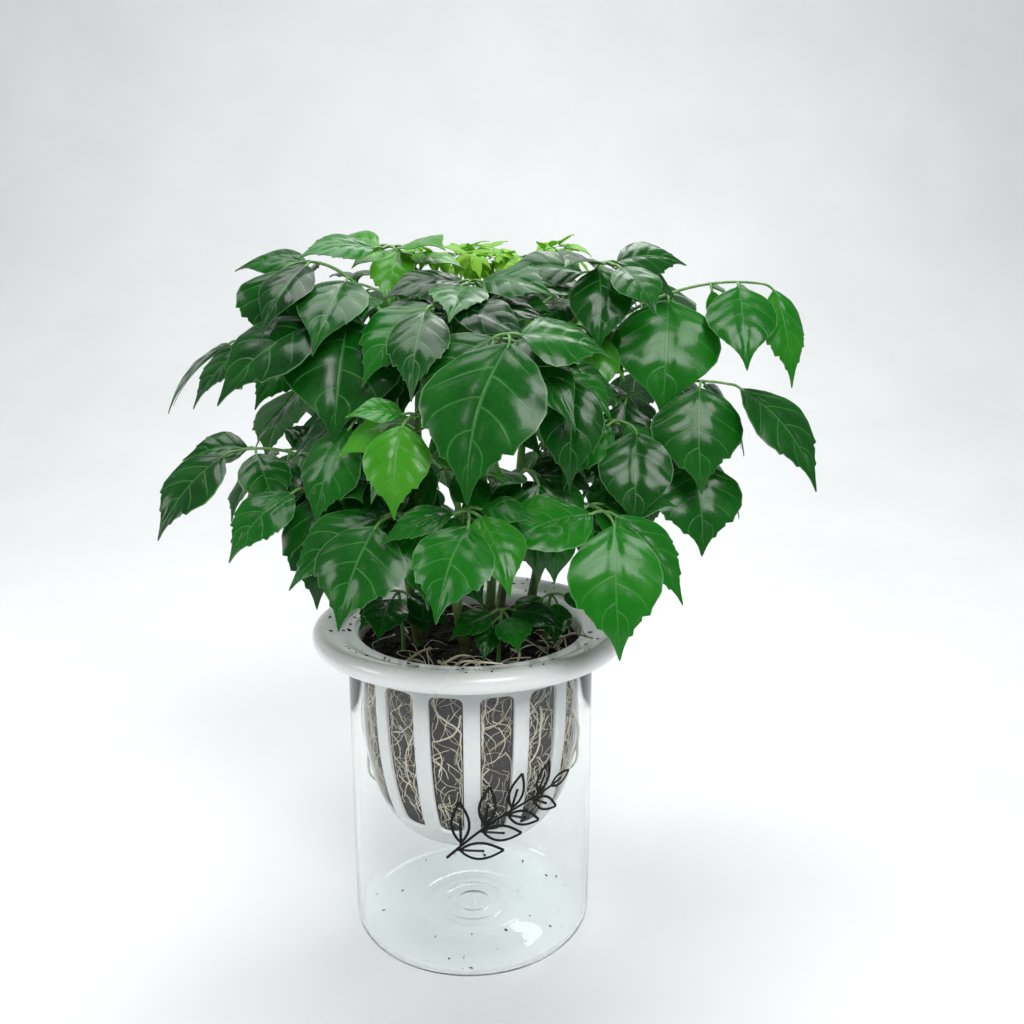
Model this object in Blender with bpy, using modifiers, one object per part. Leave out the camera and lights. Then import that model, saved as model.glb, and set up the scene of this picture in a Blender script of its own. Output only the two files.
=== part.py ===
"""A young happiness tree growing in a slotted basket that hangs by its collar in a clear vase.

The vase stands on z = 0 with its axis on the z axis. The plant has grown towards -y, where its light came
from. Lengths are in metres. The plant's tables are in millimetres, with heights above the soil, and their
angles are in degrees: an azimuth turns from +x towards +y, and a droop is measured down from level.
"""

import math

import bmesh
import bpy
from mathutils import Vector
from mathutils.bvhtree import BVHTree

MM = 0.001
GAP = 0.3 * MM  # kept between pieces that touch

# Vase
VASE_RADIUS = 56.5 * MM
VASE_HEIGHT = 146.0 * MM
VASE_WALL = 2.2 * MM
VASE_FLOOR = 2.4 * MM
FOOT_ROUND = 7.0 * MM
FLOOR_RING = 38.0 * MM  # radius inside which the floor is a little thicker
FLOOR_STEP = 0.9 * MM

# Basket: a bowl below the rim of the vase, and a wide rolled collar above it
BASKET_WALL = 1.6 * MM
BASKET_PLAY = 1.9 * MM  # between the bowl and the wall of the vase
BASKET_DEPTH = 92.0 * MM  # from the end of its straight neck to its lowest point
BOWL_FULLNESS = 2.6  # how late the side starts to turn in, and how square its corner is
BOWL_CORNER = 4.0
NECK = 6.0 * MM
COLLAR_OVERHANG = 15.5 * MM  # from the vase's wall to the outermost point of the roll
ROLL_RADIUS = 4.6 * MM
COLLAR_RISE = 3.0 * MM  # from the seat up to the underside of the roll's top
SEAT_WIDTH = 4.0 * MM
SLOT_COUNT = 15
RIB_WIDTH = 7.2 * MM
SLOT_TOP = 13.0 * MM  # below the rim of the vase
SLOT_HEIGHT = 68.0 * MM
SLOT_ROUND = 3.0 * MM
SOIL_DROP = 5.0 * MM  # of the soil below the rim of the vase

# Plant
STEM_RADIUS = 2.3 * MM
STEM_TAPER = 0.45  # radius at the top of a stem, as a share of the radius at the soil
STALK_WIDTH = 2.0 * MM
STALK_CROWN = 6.0 * MM  # height of a main stalk's bow above its far end
LEAF_THICKNESS = 0.7 * MM
SIDE_STALK = 4.5 * MM  # from the leaf's main stalk to a leaflet
SIDE_STALK_WIDTH = 1.6 * MM
LEAFLET_SCALE = 1.0
ROOT_RADIUS = 0.7 * MM
ROOT_SWING = 2.5 * MM  # how far a root in a slot swings out from the root ball

TURNS = 45  # facets round the turned pieces, three to each slot and rib

SOIL_Z = VASE_HEIGHT - SOIL_DROP
BOWL_RADIUS = VASE_RADIUS - VASE_WALL - BASKET_PLAY
SEAT_Z = VASE_HEIGHT + GAP
COLLAR_RADIUS = VASE_RADIUS + COLLAR_OVERHANG
COLLAR_TOP = SEAT_Z + COLLAR_RISE + BASKET_WALL

# Points (x, y, height) that each stem passes through.
STEMS = {
    "stem_middle": ((8, -4, 0), (10, -6, 45), (5, -3, 90), (9, -5, 128), (12, -6, 160)),
    "stem_left": ((-24, -10, 0), (-28, -14, 40), (-33, -17, 85), (-30, -15, 125), (-32, -14, 152)),
    "stem_right": ((26, 6, 0), (33, 4, 45), (38, 8, 90), (44, 6, 130), (48, 4, 156)),
    "stem_back_left": ((-14, 22, 0), (-20, 28, 45), (-24, 34, 90), (-22, 36, 130), (-20, 38, 160)),
    "stem_back_right": ((14, 26, 0), (20, 34, 40), (26, 40, 85), (28, 44, 130), (30, 46, 154)),
    "stem_front": ((-2, -26, 0), (-6, -34, 30), (-4, -40, 60), (-6, -44, 84)),
}

# Compound leaves, the front ones first: name, stem, height on the stem, end of the main stalk, and
# the leaflets. A leaflet is its place along the stalk, azimuth, droop, length and width share.
LEAVES = (
    ("leaf_front_high", "stem_middle", 84, (15, -74, 142), (
        (1.0, 234, 64, 62, .72), (.92, 198, 34, 40, .72), (.92, 8, 14, 36, .78),
        (.66, 205, 42, 34, .6), (.66, 318, 44, 44, .5))),
    ("leaf_front_right_low", "stem_right", 49, (54, -68, 73), (
        (1.0, 272, 70, 52, .68), (.91, 205, 24, 44, .66), (.91, 328, 48, 44, .5),
        (.60, 200, 30, 40, .6), (.60, 346, 40, 40, .6))),
    ("leaf_right_middle", "stem_right", 91, (110, -22, 119), (
        (1.0, 326, 50, 54, .5), (.84, 268, 72, 46, .84), (.84, 20, 56, 40, .6),
        (.42, 248, 66, 50, .68), (.42, 70, 30, 38, .6))),
    ("leaf_right_top", "stem_right", 131, (128, -2, 160), (
        (1.0, 300, 72, 44, .46), (.86, 270, 60, 40, .74), (.86, 38, 36, 40, .6),
        (.5, 256, 70, 54, .84), (.5, 72, 14, 42, .6))),
    ("leaf_top_right_near", "stem_right", 143, (60, -16, 168), (
        (1.0, 302, 40, 30, .7), (.84, 262, 66, 38, .66), (.84, 18, 2, 34, .6),
        (.5, 178, 2, 36, .6), (.5, 60, 8, 30, .6))),
    ("leaf_left_low", "stem_left", 59, (-96, -28, 93), (
        (1.0, 218, 46, 44, .6), (.88, 184, 10, 28, .66), (.88, 300, 44, 34, .6),
        (.66, 250, 44, 34, .66), (.66, 60, -14, 22, .8))),
    ("leaf_left_low_front", "stem_left", 47, (-66, -46, 81), (
        (1.0, 214, 54, 38, .6), (.86, 178, 14, 34, .56), (.86, 262, 72, 48, .62),
        (.55, 190, 24, 34, .6), (.55, 290, 50, 36, .6))),
    ("leaf_front_left_low", "stem_front", 41, (-32, -72, 74), (
        (1.0, 236, 56, 42, .86), (.84, 200, 26, 46, .6), (.84, 300, 60, 36, .66),
        (.5, 188, 34, 34, .6), (.5, 330, 30, 32, .6))),
    ("leaf_front_low", "stem_front", 55, (0, -88, 78), (
        (1.0, 238, 54, 38, .8), (.85, 190, 30, 30, .44), (.85, 298, 50, 34, .66))),
    ("leaf_young_left", "stem_front", 73, (-22, -70, 112), (
        (1.0, 258, 66, 36, .68), (.84, 186, 2, 22, .56), (.84, 20, 6, 16, .6),
        (.55, 215, 50, 34, .66), (.55, 300, 40, 28, .6))),
    ("leaf_upper_left", "stem_left", 121, (-54, -30, 147), (
        (1.0, 208, 36, 54, .62), (.80, 258, 72, 52, .9), (.80, 168, 20, 36, .5),
        (.4, 240, 60, 38, .6), (.4, 120, 14, 34, .6))),
    ("leaf_upper_front", "stem_middle", 127, (-14, -44, 152), (
        (1.0, 262, 76, 46, .5), (.82, 218, 50, 44, .66), (.82, 318, 40, 36, .6),
        (.5, 186, 16, 34, .6), (.5, 350, 6, 32, .62))),
    ("leaf_top_left", "stem_left", 145, (-72, -12, 168), (
        (1.0, 246, 66, 34, .9), (.80, 242, 66, 42, .5), (.80, 172, 6, 34, .5),
        (.40, 254, 70, 46, .6), (.40, 92, 4, 36, .56))),
    ("leaf_top_back_left", "stem_back_left", 155, (-36, 4, 175), (
        (1.0, 205, 8, 34, .56), (.82, 262, 56, 30, .62), (.82, 150, 4, 34, .6),
        (.5, 330, 14, 28, .6), (.5, 110, 4, 34, .6))),
    ("leaf_right_low_middle", "stem_right", 57, (92, -14, 87), (
        (1.0, 280, 66, 42, .92), (.84, 244, 58, 32, .5), (.84, 345, 46, 30, .4),
        (.52, 258, 50, 36, .6), (.52, 60, 30, 32, .6))),
    ("leaf_centre_inner", "stem_middle", 109, (38, -50, 127), (
        (1.0, 262, 74, 44, .56), (.8, 236, 60, 32, .6), (.8, 330, 40, 30, .6))),
    ("leaf_right_inner", "stem_back_right", 121, (76, 20, 143), (
        (1.0, 300, 50, 34, .7), (.82, 350, 40, 34, .6), (.82, 240, 40, 30, .6),
        (.5, 60, 20, 32, .6), (.5, 220, 20, 28, .6))),
    ("leaf_inner_left", "stem_left", 85, (-44, -46, 108), (
        (1.0, 230, 60, 42, .66), (.84, 186, 34, 36, .6), (.84, 290, 60, 36, .6),
        (.5, 200, 50, 32, .6), (.5, 320, 50, 32, .6))),
    ("leaf_inner_left_low", "stem_left", 62, (-30, -34, 84), (
        (1.0, 245, 56, 38, .66), (.84, 196, 40, 34, .6), (.84, 300, 50, 34, .6))),
    ("leaf_inner_centre_low", "stem_middle", 55, (26, -50, 86), (
        (1.0, 268, 62, 40, .7), (.84, 214, 44, 36, .6), (.84, 322, 44, 36, .6),
        (.5, 200, 50, 32, .6), (.5, 340, 50, 32, .6))),
    ("leaf_inner_right", "stem_right", 78, (66, -36, 104), (
        (1.0, 262, 66, 42, .7), (.84, 220, 50, 36, .6), (.84, 320, 50, 34, .6))),
    ("leaf_inner_high", "stem_back_right", 116, (50, -4, 142), (
        (1.0, 270, 60, 36, .66), (.84, 214, 34, 34, .6), (.84, 330, 40, 34, .6),
        (.5, 190, 30, 30, .6), (.5, 350, 30, 30, .6))),
    ("leaf_inner_top", "stem_middle", 148, (0, -18, 160), (
        (1.0, 262, 30, 36, .64), (.82, 200, 20, 34, .6), (.82, 330, 10, 34, .6),
        (.5, 180, 10, 28, .6), (.5, 0, 10, 28, .6))),
    ("leaf_inner_back_left", "stem_back_left", 118, (-48, 24, 138), (
        (1.0, 190, 50, 40, .64), (.84, 240, 50, 36, .6), (.84, 140, 40, 36, .6),
        (.5, 250, 50, 32, .6), (.5, 120, 40, 32, .6))),
    ("leaf_inner_back_low", "stem_back_left", 70, (-50, 10, 96), (
        (1.0, 210, 60, 42, .64), (.84, 256, 56, 36, .6), (.84, 160, 50, 36, .6))),
    ("leaf_inner_back_right", "stem_back_right", 70, (60, 40, 98), (
        (1.0, 320, 56, 40, .64), (.84, 270, 50, 36, .6), (.84, 10, 50, 36, .6))),
    ("leaf_back_top_right", "stem_back_right", 147, (82, 52, 162), (
        (1.0, 25, 38, 42, .6), (.84, 330, 40, 38, .6), (.84, 85, 40, 40, .6),
        (.52, 350, 20, 34, .6), (.52, 95, 30, 38, .6))),
    ("leaf_back_right", "stem_back_right", 95, (96, 60, 117), (
        (1.0, 30, 52, 50, .6), (.84, 340, 44, 42, .6), (.84, 88, 52, 44, .6),
        (.5, 350, 36, 36, .6), (.5, 100, 50, 40, .6))),
    ("leaf_back_top", "stem_back_right", 151, (24, 98, 159), (
        (1.0, 82, 44, 46, .64), (.84, 30, 38, 40, .6), (.84, 138, 38, 42, .6),
        (.5, 20, 24, 36, .6), (.5, 150, 30, 36, .6))),
    ("leaf_back_middle", "stem_back_right", 85, (40, 112, 105), (
        (1.0, 80, 58, 52, .62), (.84, 28, 50, 44, .6), (.84, 132, 50, 44, .6),
        (.5, 20, 40, 38, .6), (.5, 142, 44, 38, .6))),
    ("leaf_back_top_left", "stem_back_left", 141, (-66, 70, 159), (
        (1.0, 140, 44, 44, .62), (.84, 90, 40, 40, .6), (.84, 188, 38, 40, .6),
        (.5, 84, 30, 36, .6), (.5, 200, 28, 36, .6))),
    ("leaf_back_left", "stem_back_left", 91, (-84, 78, 109), (
        (1.0, 142, 56, 50, .62), (.84, 92, 50, 44, .6), (.84, 186, 46, 44, .6),
        (.5, 82, 44, 36, .6), (.5, 200, 40, 36, .6))),
    ("leaf_left_back_high", "stem_left", 109, (-104, 24, 135), (
        (1.0, 172, 46, 46, .6), (.84, 126, 40, 38, .6), (.84, 214, 44, 40, .5),
        (.5, 116, 30, 34, .6), (.5, 226, 40, 34, .6))),
    ("leaf_left_back_low", "stem_back_left", 49, (-92, 44, 81), (
        (1.0, 160, 56, 44, .62), (.84, 112, 48, 38, .6), (.84, 206, 44, 38, .6),
        (.5, 206, 30, 32, .6), (.5, 108, 40, 32, .6))),
    ("leaf_back_low", "stem_back_left", 45, (-26, 98, 71), (
        (1.0, 104, 60, 46, .62), (.84, 56, 50, 38, .6), (.84, 150, 50, 38, .6))),
    ("leaf_back_right_low", "stem_back_right", 43, (66, 74, 71), (
        (1.0, 48, 58, 46, .62), (.84, 4, 48, 38, .6), (.84, 92, 50, 38, .6))),
    ("leaf_right_back_low", "stem_right", 45, (104, 26, 85), (
        (1.0, 12, 56, 44, .62), (.84, 328, 46, 38, .6), (.84, 58, 46, 38, .6))),
)

# Tufts of new leaves at the top of a stem, in the same form as the leaves.
YOUNG_SHOOTS = (
    ("young_shoot_middle", "stem_back_left", 158, (-2, 28, 172), (
        (1.0, 270, 10, 22, .52), (.90, 210, -8, 20, .5), (.90, 330, -4, 20, .5),
        (.72, 190, 12, 20, .5), (.72, 352, 6, 20, .5), (.54, 160, -10, 18, .5),
        (.54, 30, -6, 18, .5), (.36, 200, 20, 16, .5), (.36, 340, 20, 16, .5))),
    ("young_shoot_right", "stem_back_right", 152, (24, 22, 171), (
        (1.0, 262, 14, 20, .52), (.90, 204, -6, 20, .5), (.90, 326, -10, 22, .5),
        (.72, 184, 8, 18, .5), (.72, 346, 4, 22, .5), (.54, 150, -8, 18, .5),
        (.54, 24, -6, 18, .5), (.36, 196, 20, 16, .5), (.36, 336, 20, 16, .5))),
)

# Sprouts from the soil: name, place of the foot, end of the stalk, and leaflets as above.
SEEDLINGS = (
    ("seedling_left", (-30, -15), (-32, -20, 28), (
        (1.0, 258, 50, 26, .72), (.85, 190, 20, 22, .6), (.85, 330, 30, 24, .6),
        (.5, 230, 40, 20, .6), (.5, 300, 30, 20, .6))),
    ("seedling_front", (12, -31), (14, -35, 24), (
        (1.0, 280, 40, 22, .66), (.85, 205, 24, 22, .6), (.85, 345, 20, 22, .6), (.5, 250, 40, 18, .6))),
    ("seedling_right", (34, -10), (37, -15, 24), (
        (1.0, 268, 56, 20, .7), (.85, 205, 30, 20, .6), (.85, 335, 20, 16, .6), (.5, 240, 40, 18, .6))),
)

# Points (x, y, height) of the bare roots that lie on the soil and over the collar.
SURFACE_ROOTS = {
    "surface_root_front": ((-14, -33, 1.2), (-8, -43, 2.4), (-3, -49, 7.4), (4, -55, 9.4), (13, -59, 10)),
    "surface_root_middle": ((18, -20, 1.2), (21, -30, 3.2), (19, -38, 1.6), (12, -43, 1.6)),
    "surface_root_right": ((34, -6, 1.2), (42, -11, 3.6), (46, -19, 8), (50, -28, 10), (53, -31, 10)),
    "surface_root_left": ((-18, -17, 1.2), (-22, -27, 3.4), (-29, -35, 1.6), (-31, -38, 1.6)),
    "surface_root_back": ((34, 12, 1.2), (41, 20, 3), (36, 31, 2.6), (25, 36, 1.6)),
}

# Roots that have grown out through a slot: slot, height of the start below the rim of the vase, length,
# and how far the root sways round the axis on its way, in degrees.
SLOT_ROOTS = {
    "slot_root_right": (2, 30, 34, 7),
    "slot_root_right_low": (3, 52, 24, -8),
    "slot_root_left": (11, 58, 22, 8),
}

# Half widths of a leaflet's blade as shares of its widest, at shares of its length.
BLADE_ROWS = ((.14, .68), (.40, 1.0), (.74, .52))
BLADE_ARCH = 22  # degrees that a blade's midrib turns down on either side of its chord

# A blade faces partly the way it points, partly the light and partly the sky.
LIGHT = Vector((0, -1, 0))
LIGHT_DEPTH = 40.0 * MM  # how far behind the axis a leaf still turns towards the light
FACING = (0.6, 0.6, 0.7)

# How the leaves find their places, the first one in the tables first
CLEARANCE = 1.1 * MM  # kept round a blade or a stalk
BLADE_SWING, BLADE_STEP = 40, 8  # degrees that a blade may turn or dip, and the step
BLADE_SIZES = (1.0, 0.85, 0.7, 0.55)  # tried in turn where no angle is free
STALK_BOW, STALK_LIFT, BOW_STEP, LIFT_STEP = 24, 12, 4, 6  # millimetres


def rgba(red, green, blue, alpha=1.0):
    return (red, green, blue, alpha)


def make_material(name, colour, roughness, transmission=0.0):
    material = bpy.data.materials.new(name)
    material.use_nodes = True
    shader = material.node_tree.nodes["Principled BSDF"]
    shader.inputs["Base Color"].default_value = colour
    shader.inputs["Roughness"].default_value = roughness
    shader.inputs["Metallic"].default_value = 0.0
    shader.inputs["Transmission Weight"].default_value = transmission
    return material


def clear_scene():
    for obj in list(bpy.data.objects):
        bpy.data.objects.remove(obj, do_unlink=True)


def new_collection(name):
    collection = bpy.data.collections.new(name)
    bpy.context.scene.collection.children.link(collection)
    return collection


def add_mesh(name, vertices, edges, faces, material, collection):
    mesh = bpy.data.meshes.new(name)
    mesh.from_pydata([tuple(vertex) for vertex in vertices], edges, faces)
    mesh.materials.append(material)
    obj = bpy.data.objects.new(name, mesh)
    collection.objects.link(obj)
    return obj


def shade_smooth(obj, angle=math.radians(40)):
    obj.data.shade_smooth()
    obj.data.set_sharp_from_angle(angle=angle)


# Turned pieces


def arc(centre, radius, start, end, steps):
    """Points (r, z) on an arc, from one angle to the other in degrees."""
    angles = [math.radians(start + (end - start) * i / steps) for i in range(steps + 1)]
    return [(centre[0] + radius * math.cos(a), centre[1] + radius * math.sin(a)) for a in angles]


def turned(name, profile, material, collection):
    """Turns a profile of (r, z) points, which runs down its outer side, round the z axis."""
    vertices = [(r, 0, z) for r, z in profile]
    edges = [(i, i + 1) for i in range(len(profile) - 1)]
    obj = add_mesh(name, vertices, edges, [], material, collection)
    screw = obj.modifiers.new("Turn", "SCREW")
    screw.steps = TURNS
    screw.render_steps = TURNS
    screw.use_merge_vertices = True
    screw.merge_threshold = 0.00005
    return obj


def make_vase(material, collection):
    inner = VASE_RADIUS - VASE_WALL
    inner_round = FOOT_ROUND - VASE_WALL
    profile = [(0, VASE_FLOOR + FLOOR_STEP), (FLOOR_RING - FLOOR_STEP, VASE_FLOOR + FLOOR_STEP)]
    profile += [(FLOOR_RING, VASE_FLOOR)]
    profile += arc((inner - inner_round, VASE_FLOOR + inner_round), inner_round, -90, 0, 3)
    rim = VASE_WALL / 2
    profile += arc((VASE_RADIUS - rim, VASE_HEIGHT - rim), rim, 180, 0, 4)
    profile += arc((VASE_RADIUS - FOOT_ROUND, FOOT_ROUND), FOOT_ROUND, 0, -90, 4)
    profile += [(0, 0)]
    return turned("vase", profile, material, collection)


def bowl_profile():
    """The basket's outer side from the foot of its neck to its lowest point: a soft-cornered bowl."""
    rows = 9
    points = []
    for i in range(rows + 1):
        depth = math.sin(math.pi / 2 * i / rows)
        radius = BOWL_RADIUS * max(1 - depth ** BOWL_FULLNESS, 0) ** (1 / BOWL_CORNER)
        points.append((radius, VASE_HEIGHT - NECK - BASKET_DEPTH * depth))
    return points


def inset(profile, distance):
    """The profile moved inwards, square to itself. It runs down its outer side."""
    moved = []
    for i, (r, z) in enumerate(profile):
        before = profile[max(i - 1, 0)]
        after = profile[min(i + 1, len(profile) - 1)]
        along = Vector((after[0] - before[0], after[1] - before[1])).normalized()
        moved.append((max(r + along.y * distance, 0), z - along.x * distance))
    return moved


def make_slot_cutters(material, collection):
    """One wedge for each slot. Its width follows the bowl, so that the ribs keep one width."""
    bowl = bowl_profile()
    top = VASE_HEIGHT - SLOT_TOP
    near, far = BOWL_RADIUS * 0.62, VASE_RADIUS + COLLAR_OVERHANG

    def bowl_radius(z):
        for (r1, z1), (r2, z2) in zip(bowl, bowl[1:]):
            if z2 <= z <= z1:
                return r1 + (r2 - r1) * (z1 - z) / (z1 - z2)
        return BOWL_RADIUS

    joined = bmesh.new()
    for k in range(SLOT_COUNT):
        wedge = bmesh.new()
        bmesh.ops.create_cube(wedge, size=2)
        for vertex in wedge.verts:
            z = top if vertex.co.z > 0 else top - SLOT_HEIGHT
            pitch = 2 * math.pi * bowl_radius(z) / SLOT_COUNT
            share = (far if vertex.co.x > 0 else near) / bowl_radius(z)
            half = (pitch - RIB_WIDTH) / 2 * share
            vertex.co = Vector((bowl_radius(z) * share, half * (1 if vertex.co.y > 0 else -1), z))
        radial = [e for e in wedge.edges if abs((e.verts[1].co - e.verts[0].co).normalized().x) > 0.9]
        bmesh.ops.bevel(wedge, geom=radial, offset=SLOT_ROUND, offset_type="OFFSET", segments=2,
                        profile=0.5, affect="EDGES")
        turn = slot_azimuth(k)
        for vertex in wedge.verts:
            x, y = vertex.co.x, vertex.co.y
            vertex.co.x = x * math.cos(turn) - y * math.sin(turn)
            vertex.co.y = x * math.sin(turn) + y * math.cos(turn)
        piece = bpy.data.meshes.new("wedge")
        wedge.to_mesh(piece)
        wedge.free()
        joined.from_mesh(piece)
        bpy.data.meshes.remove(piece)
    bmesh.ops.recalc_face_normals(joined, faces=joined.faces)
    cutter = add_mesh("slot_cutter", [], [], [], material, collection)
    joined.to_mesh(cutter.data)
    joined.free()
    cutter.hide_render = True
    cutter.display_type = "WIRE"
    return cutter


def slot_azimuth(k):
    """Slots stand half a pitch to either side of the front."""
    return math.radians(-90) + 2 * math.pi / SLOT_COUNT * (k + 0.5)


def make_basket(material, collection, cutter):
    roll = ROLL_RADIUS - BASKET_WALL
    roll_centre = (COLLAR_RADIUS - ROLL_RADIUS, SEAT_Z + COLLAR_RISE - roll)
    seat_inner = VASE_RADIUS - VASE_WALL - GAP
    turn_in = seat_inner - BOWL_RADIUS
    profile = arc(roll_centre, roll, -60, 90, 5)
    profile += [(seat_inner + SEAT_WIDTH, SEAT_Z)]
    profile += arc((seat_inner, SEAT_Z - turn_in), turn_in, 90, 180, 2)
    profile += bowl_profile()
    basket = turned("basket", profile, material, collection)
    wall = basket.modifiers.new("Wall", "SOLIDIFY")
    wall.thickness = BASKET_WALL
    wall.offset = -1
    wall.use_even_offset = True
    slots = basket.modifiers.new("Slots", "BOOLEAN")
    slots.operation = "DIFFERENCE"
    slots.object = cutter
    return basket


def ball_profile():
    """The root ball's outer side: the inside of the basket, with the gap kept to it."""
    side = [(r, z) for r, z in inset(bowl_profile(), BASKET_WALL + GAP)]
    neck = BOWL_RADIUS - BASKET_WALL - GAP
    return [(neck, SOIL_Z)] + [(min(r, neck), z) for r, z in side if z < SOIL_Z - MM]


def make_root_ball(material, collection):
    return turned("root_ball", [(0, SOIL_Z)] + ball_profile(), material, collection)


# Round stalks and roots


def smooth_route(points, steps):
    """A smooth curve through the points, with this many steps between two of them."""
    route = []
    for i in range(len(points) - 1):
        p0, p1 = points[max(i - 1, 0)], points[i]
        p2, p3 = points[i + 1], points[min(i + 2, len(points) - 1)]
        for step in range(steps):
            t = step / steps
            route.append(0.5 * (2 * p1 + (p2 - p0) * t + (2 * p0 - 5 * p1 + 4 * p2 - p3) * t ** 2
                                + (3 * p1 - p0 - 3 * p2 + p3) * t ** 3))
    return route + [points[-1]]


def make_tube(name, route, radius, taper, material, collection):
    curve = bpy.data.curves.new(name, "CURVE")
    curve.dimensions = "3D"
    curve.bevel_depth = radius
    curve.bevel_resolution = 1
    curve.use_fill_caps = True
    curve.materials.append(material)
    spline = curve.splines.new("POLY")
    spline.points.add(len(route) - 1)
    for i, (point, place) in enumerate(zip(spline.points, route)):
        point.co = (*place, 1)
        point.radius = 1 + (taper - 1) * i / (len(route) - 1)
    obj = bpy.data.objects.new(name, curve)
    collection.objects.link(obj)
    return obj


def above_soil(point):
    x, y, height = point
    return Vector((x * MM, y * MM, SOIL_Z + height * MM))


def stem_route(name):
    """The stem's curve, with an upright foot so that its flat end stands level on the soil."""
    points = [above_soil(point) for point in STEMS[name]]
    foot = points[0] + Vector((0, 0, GAP))
    points[0].z += STEM_RADIUS
    return [foot] + smooth_route(points, 2)


def stem_at(name, height):
    """The point on a stem at this height above the soil, and the stem's radius there."""
    route = stem_route(name)
    z = min(SOIL_Z + height, route[-1].z - STALK_WIDTH)
    for i, (low, high) in enumerate(zip(route, route[1:])):
        if low.z <= z <= high.z:
            share = (z - low.z) / (high.z - low.z)
            taper = 1 + (STEM_TAPER - 1) * (i + share) / (len(route) - 1)
            return low.lerp(high, share), STEM_RADIUS * taper
    return route[0].copy(), STEM_RADIUS


# Leaves: one thin sheet each, thickened at the end


def heading(azimuth, droop):
    a, d = math.radians(azimuth), math.radians(droop)
    return Vector((math.cos(d) * math.cos(a), math.cos(d) * math.sin(a), -math.sin(d)))


class Blade:
    """A leaflet's blade: an arched midrib, and the way its face turns."""

    def __init__(self, base, azimuth, droop, length, width):
        self.base, self.length, self.half = base, length, width * length / 2
        self.azimuth, self.droop = azimuth, droop
        along = heading(azimuth, droop)
        towards_light = min(max(1 - base.y / LIGHT_DEPTH, 0), 1)
        own, light, sky = FACING
        facing = own * heading(azimuth, 0) + light * towards_light * LIGHT + Vector((0, 0, sky))
        self.normal = (facing - along * facing.dot(along)).normalized()
        self.side = along.cross(self.normal)

    def midrib(self, share):
        arch, start = math.radians(BLADE_ARCH), math.radians(self.droop - BLADE_ARCH)
        end = start + 2 * arch * share
        out = (math.sin(end) - math.sin(start)) / (2 * arch)
        down = (math.cos(start) - math.cos(end)) / (2 * arch)
        level = heading(self.azimuth, 0)
        return self.base + (level * out - Vector((0, 0, down))) * self.length

    def outline(self, grow=0.0):
        """Left and right points of each row, and the tip. Growing it widens and lengthens it."""
        rows = []
        for share, width in BLADE_ROWS:
            middle = self.midrib(share)
            reach = self.half * width + grow
            rows.append((middle + self.side * reach, middle - self.side * reach))
        return rows, self.midrib(1 + grow / self.length)

    def surfaces(self, grow=0.0):
        """Triangles of the blade. Growing it gives both faces of a slab instead of one sheet."""
        rows, tip = self.outline(grow)
        foot = self.side * SIDE_STALK_WIDTH / 2
        start = self.base + foot, self.base - foot
        points, faces = [], []
        for lift in (-grow, grow) if grow else (0.0,):
            first = len(points)
            for left, right in [start, *rows]:
                points += [left + self.normal * lift, right + self.normal * lift]
            points.append(tip + self.normal * lift)
            for i in range(len(rows)):
                a = first + 2 * i
                faces += [(a, a + 1, a + 3), (a, a + 3, a + 2)]
            faces.append((first + 2 * len(rows), first + 2 * len(rows) + 1, len(points) - 1))
        return points, faces

    def tree(self, grow=0.0):
        points, faces = self.surfaces(grow)
        return BVHTree.FromPolygons(points, faces)


class Stalk:
    """The main stalk of a compound leaf: a bowed ribbon that is level across."""

    def __init__(self, start, end, bow, lift):
        level = Vector((end.x - start.x, end.y - start.y, 0)).normalized()
        self.level = level
        self.side = Vector((-level.y, level.x, 0))
        self.start, self.end = start, end
        self.middle = (start + end) / 2 + self.side * bow
        self.middle.z = end.z + STALK_CROWN + lift
        self.length = (self.middle - start).length + (end - self.middle).length

    def at(self, share):
        rest = 1 - share
        return rest ** 2 * self.start + 2 * share * rest * self.middle + share ** 2 * self.end

    def edges(self, share, grow=0.0):
        reach = self.side * (STALK_WIDTH / 2 + grow)
        return self.at(share) + reach, self.at(share) - reach

    def tree(self, grow=0.0):
        steps = 10
        points, faces = [], []
        for lift in (-grow, grow) if grow else (0.0,):
            first = len(points)
            for i in range(steps + 1):
                points += [edge + Vector((0, 0, lift)) for edge in self.edges(i / steps, grow)]
            for i in range(steps):
                a = first + 2 * i
                faces += [(a, a + 1, a + 3), (a, a + 3, a + 2)]
        return BVHTree.FromPolygons(points, faces)


def is_clear(tree, others):
    return not any(tree.overlap(other) for other in others)


def is_above_pot(points):
    """Whether points stay over the collar, or outside it, and over the soil inside it."""
    for point in points:
        radius = math.hypot(point.x, point.y)
        opening = BOWL_RADIUS - BASKET_WALL - CLEARANCE
        floor = SOIL_Z if radius < opening else COLLAR_TOP
        if radius < COLLAR_RADIUS + CLEARANCE and point.z < floor + CLEARANCE:
            return False
    return True


def by_size(limit, step):
    """Steps to either side of nought, the smallest first."""
    return sorted(range(-limit, limit + 1, step), key=abs)


def place_stalk(start, end, stems, own_stem, stalks):
    """The first bow and lift of a main stalk that keep it clear of the stems and the other stalks."""
    others = [tree for name, tree in stems.items() if name != own_stem] + stalks
    own = [stems[own_stem]] if own_stem else []
    tries = [(bow, lift) for bow in by_size(STALK_BOW, BOW_STEP) for lift in by_size(STALK_LIFT, LIFT_STEP)]
    for bow, lift in sorted(tries, key=lambda each: abs(each[0]) + abs(each[1])):
        stalk = Stalk(start, end, bow * MM, lift * MM)
        if is_clear(stalk.tree(CLEARANCE), others) and is_clear(stalk.tree(), own):
            return stalk
    return Stalk(start, end, 0, 0)


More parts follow.
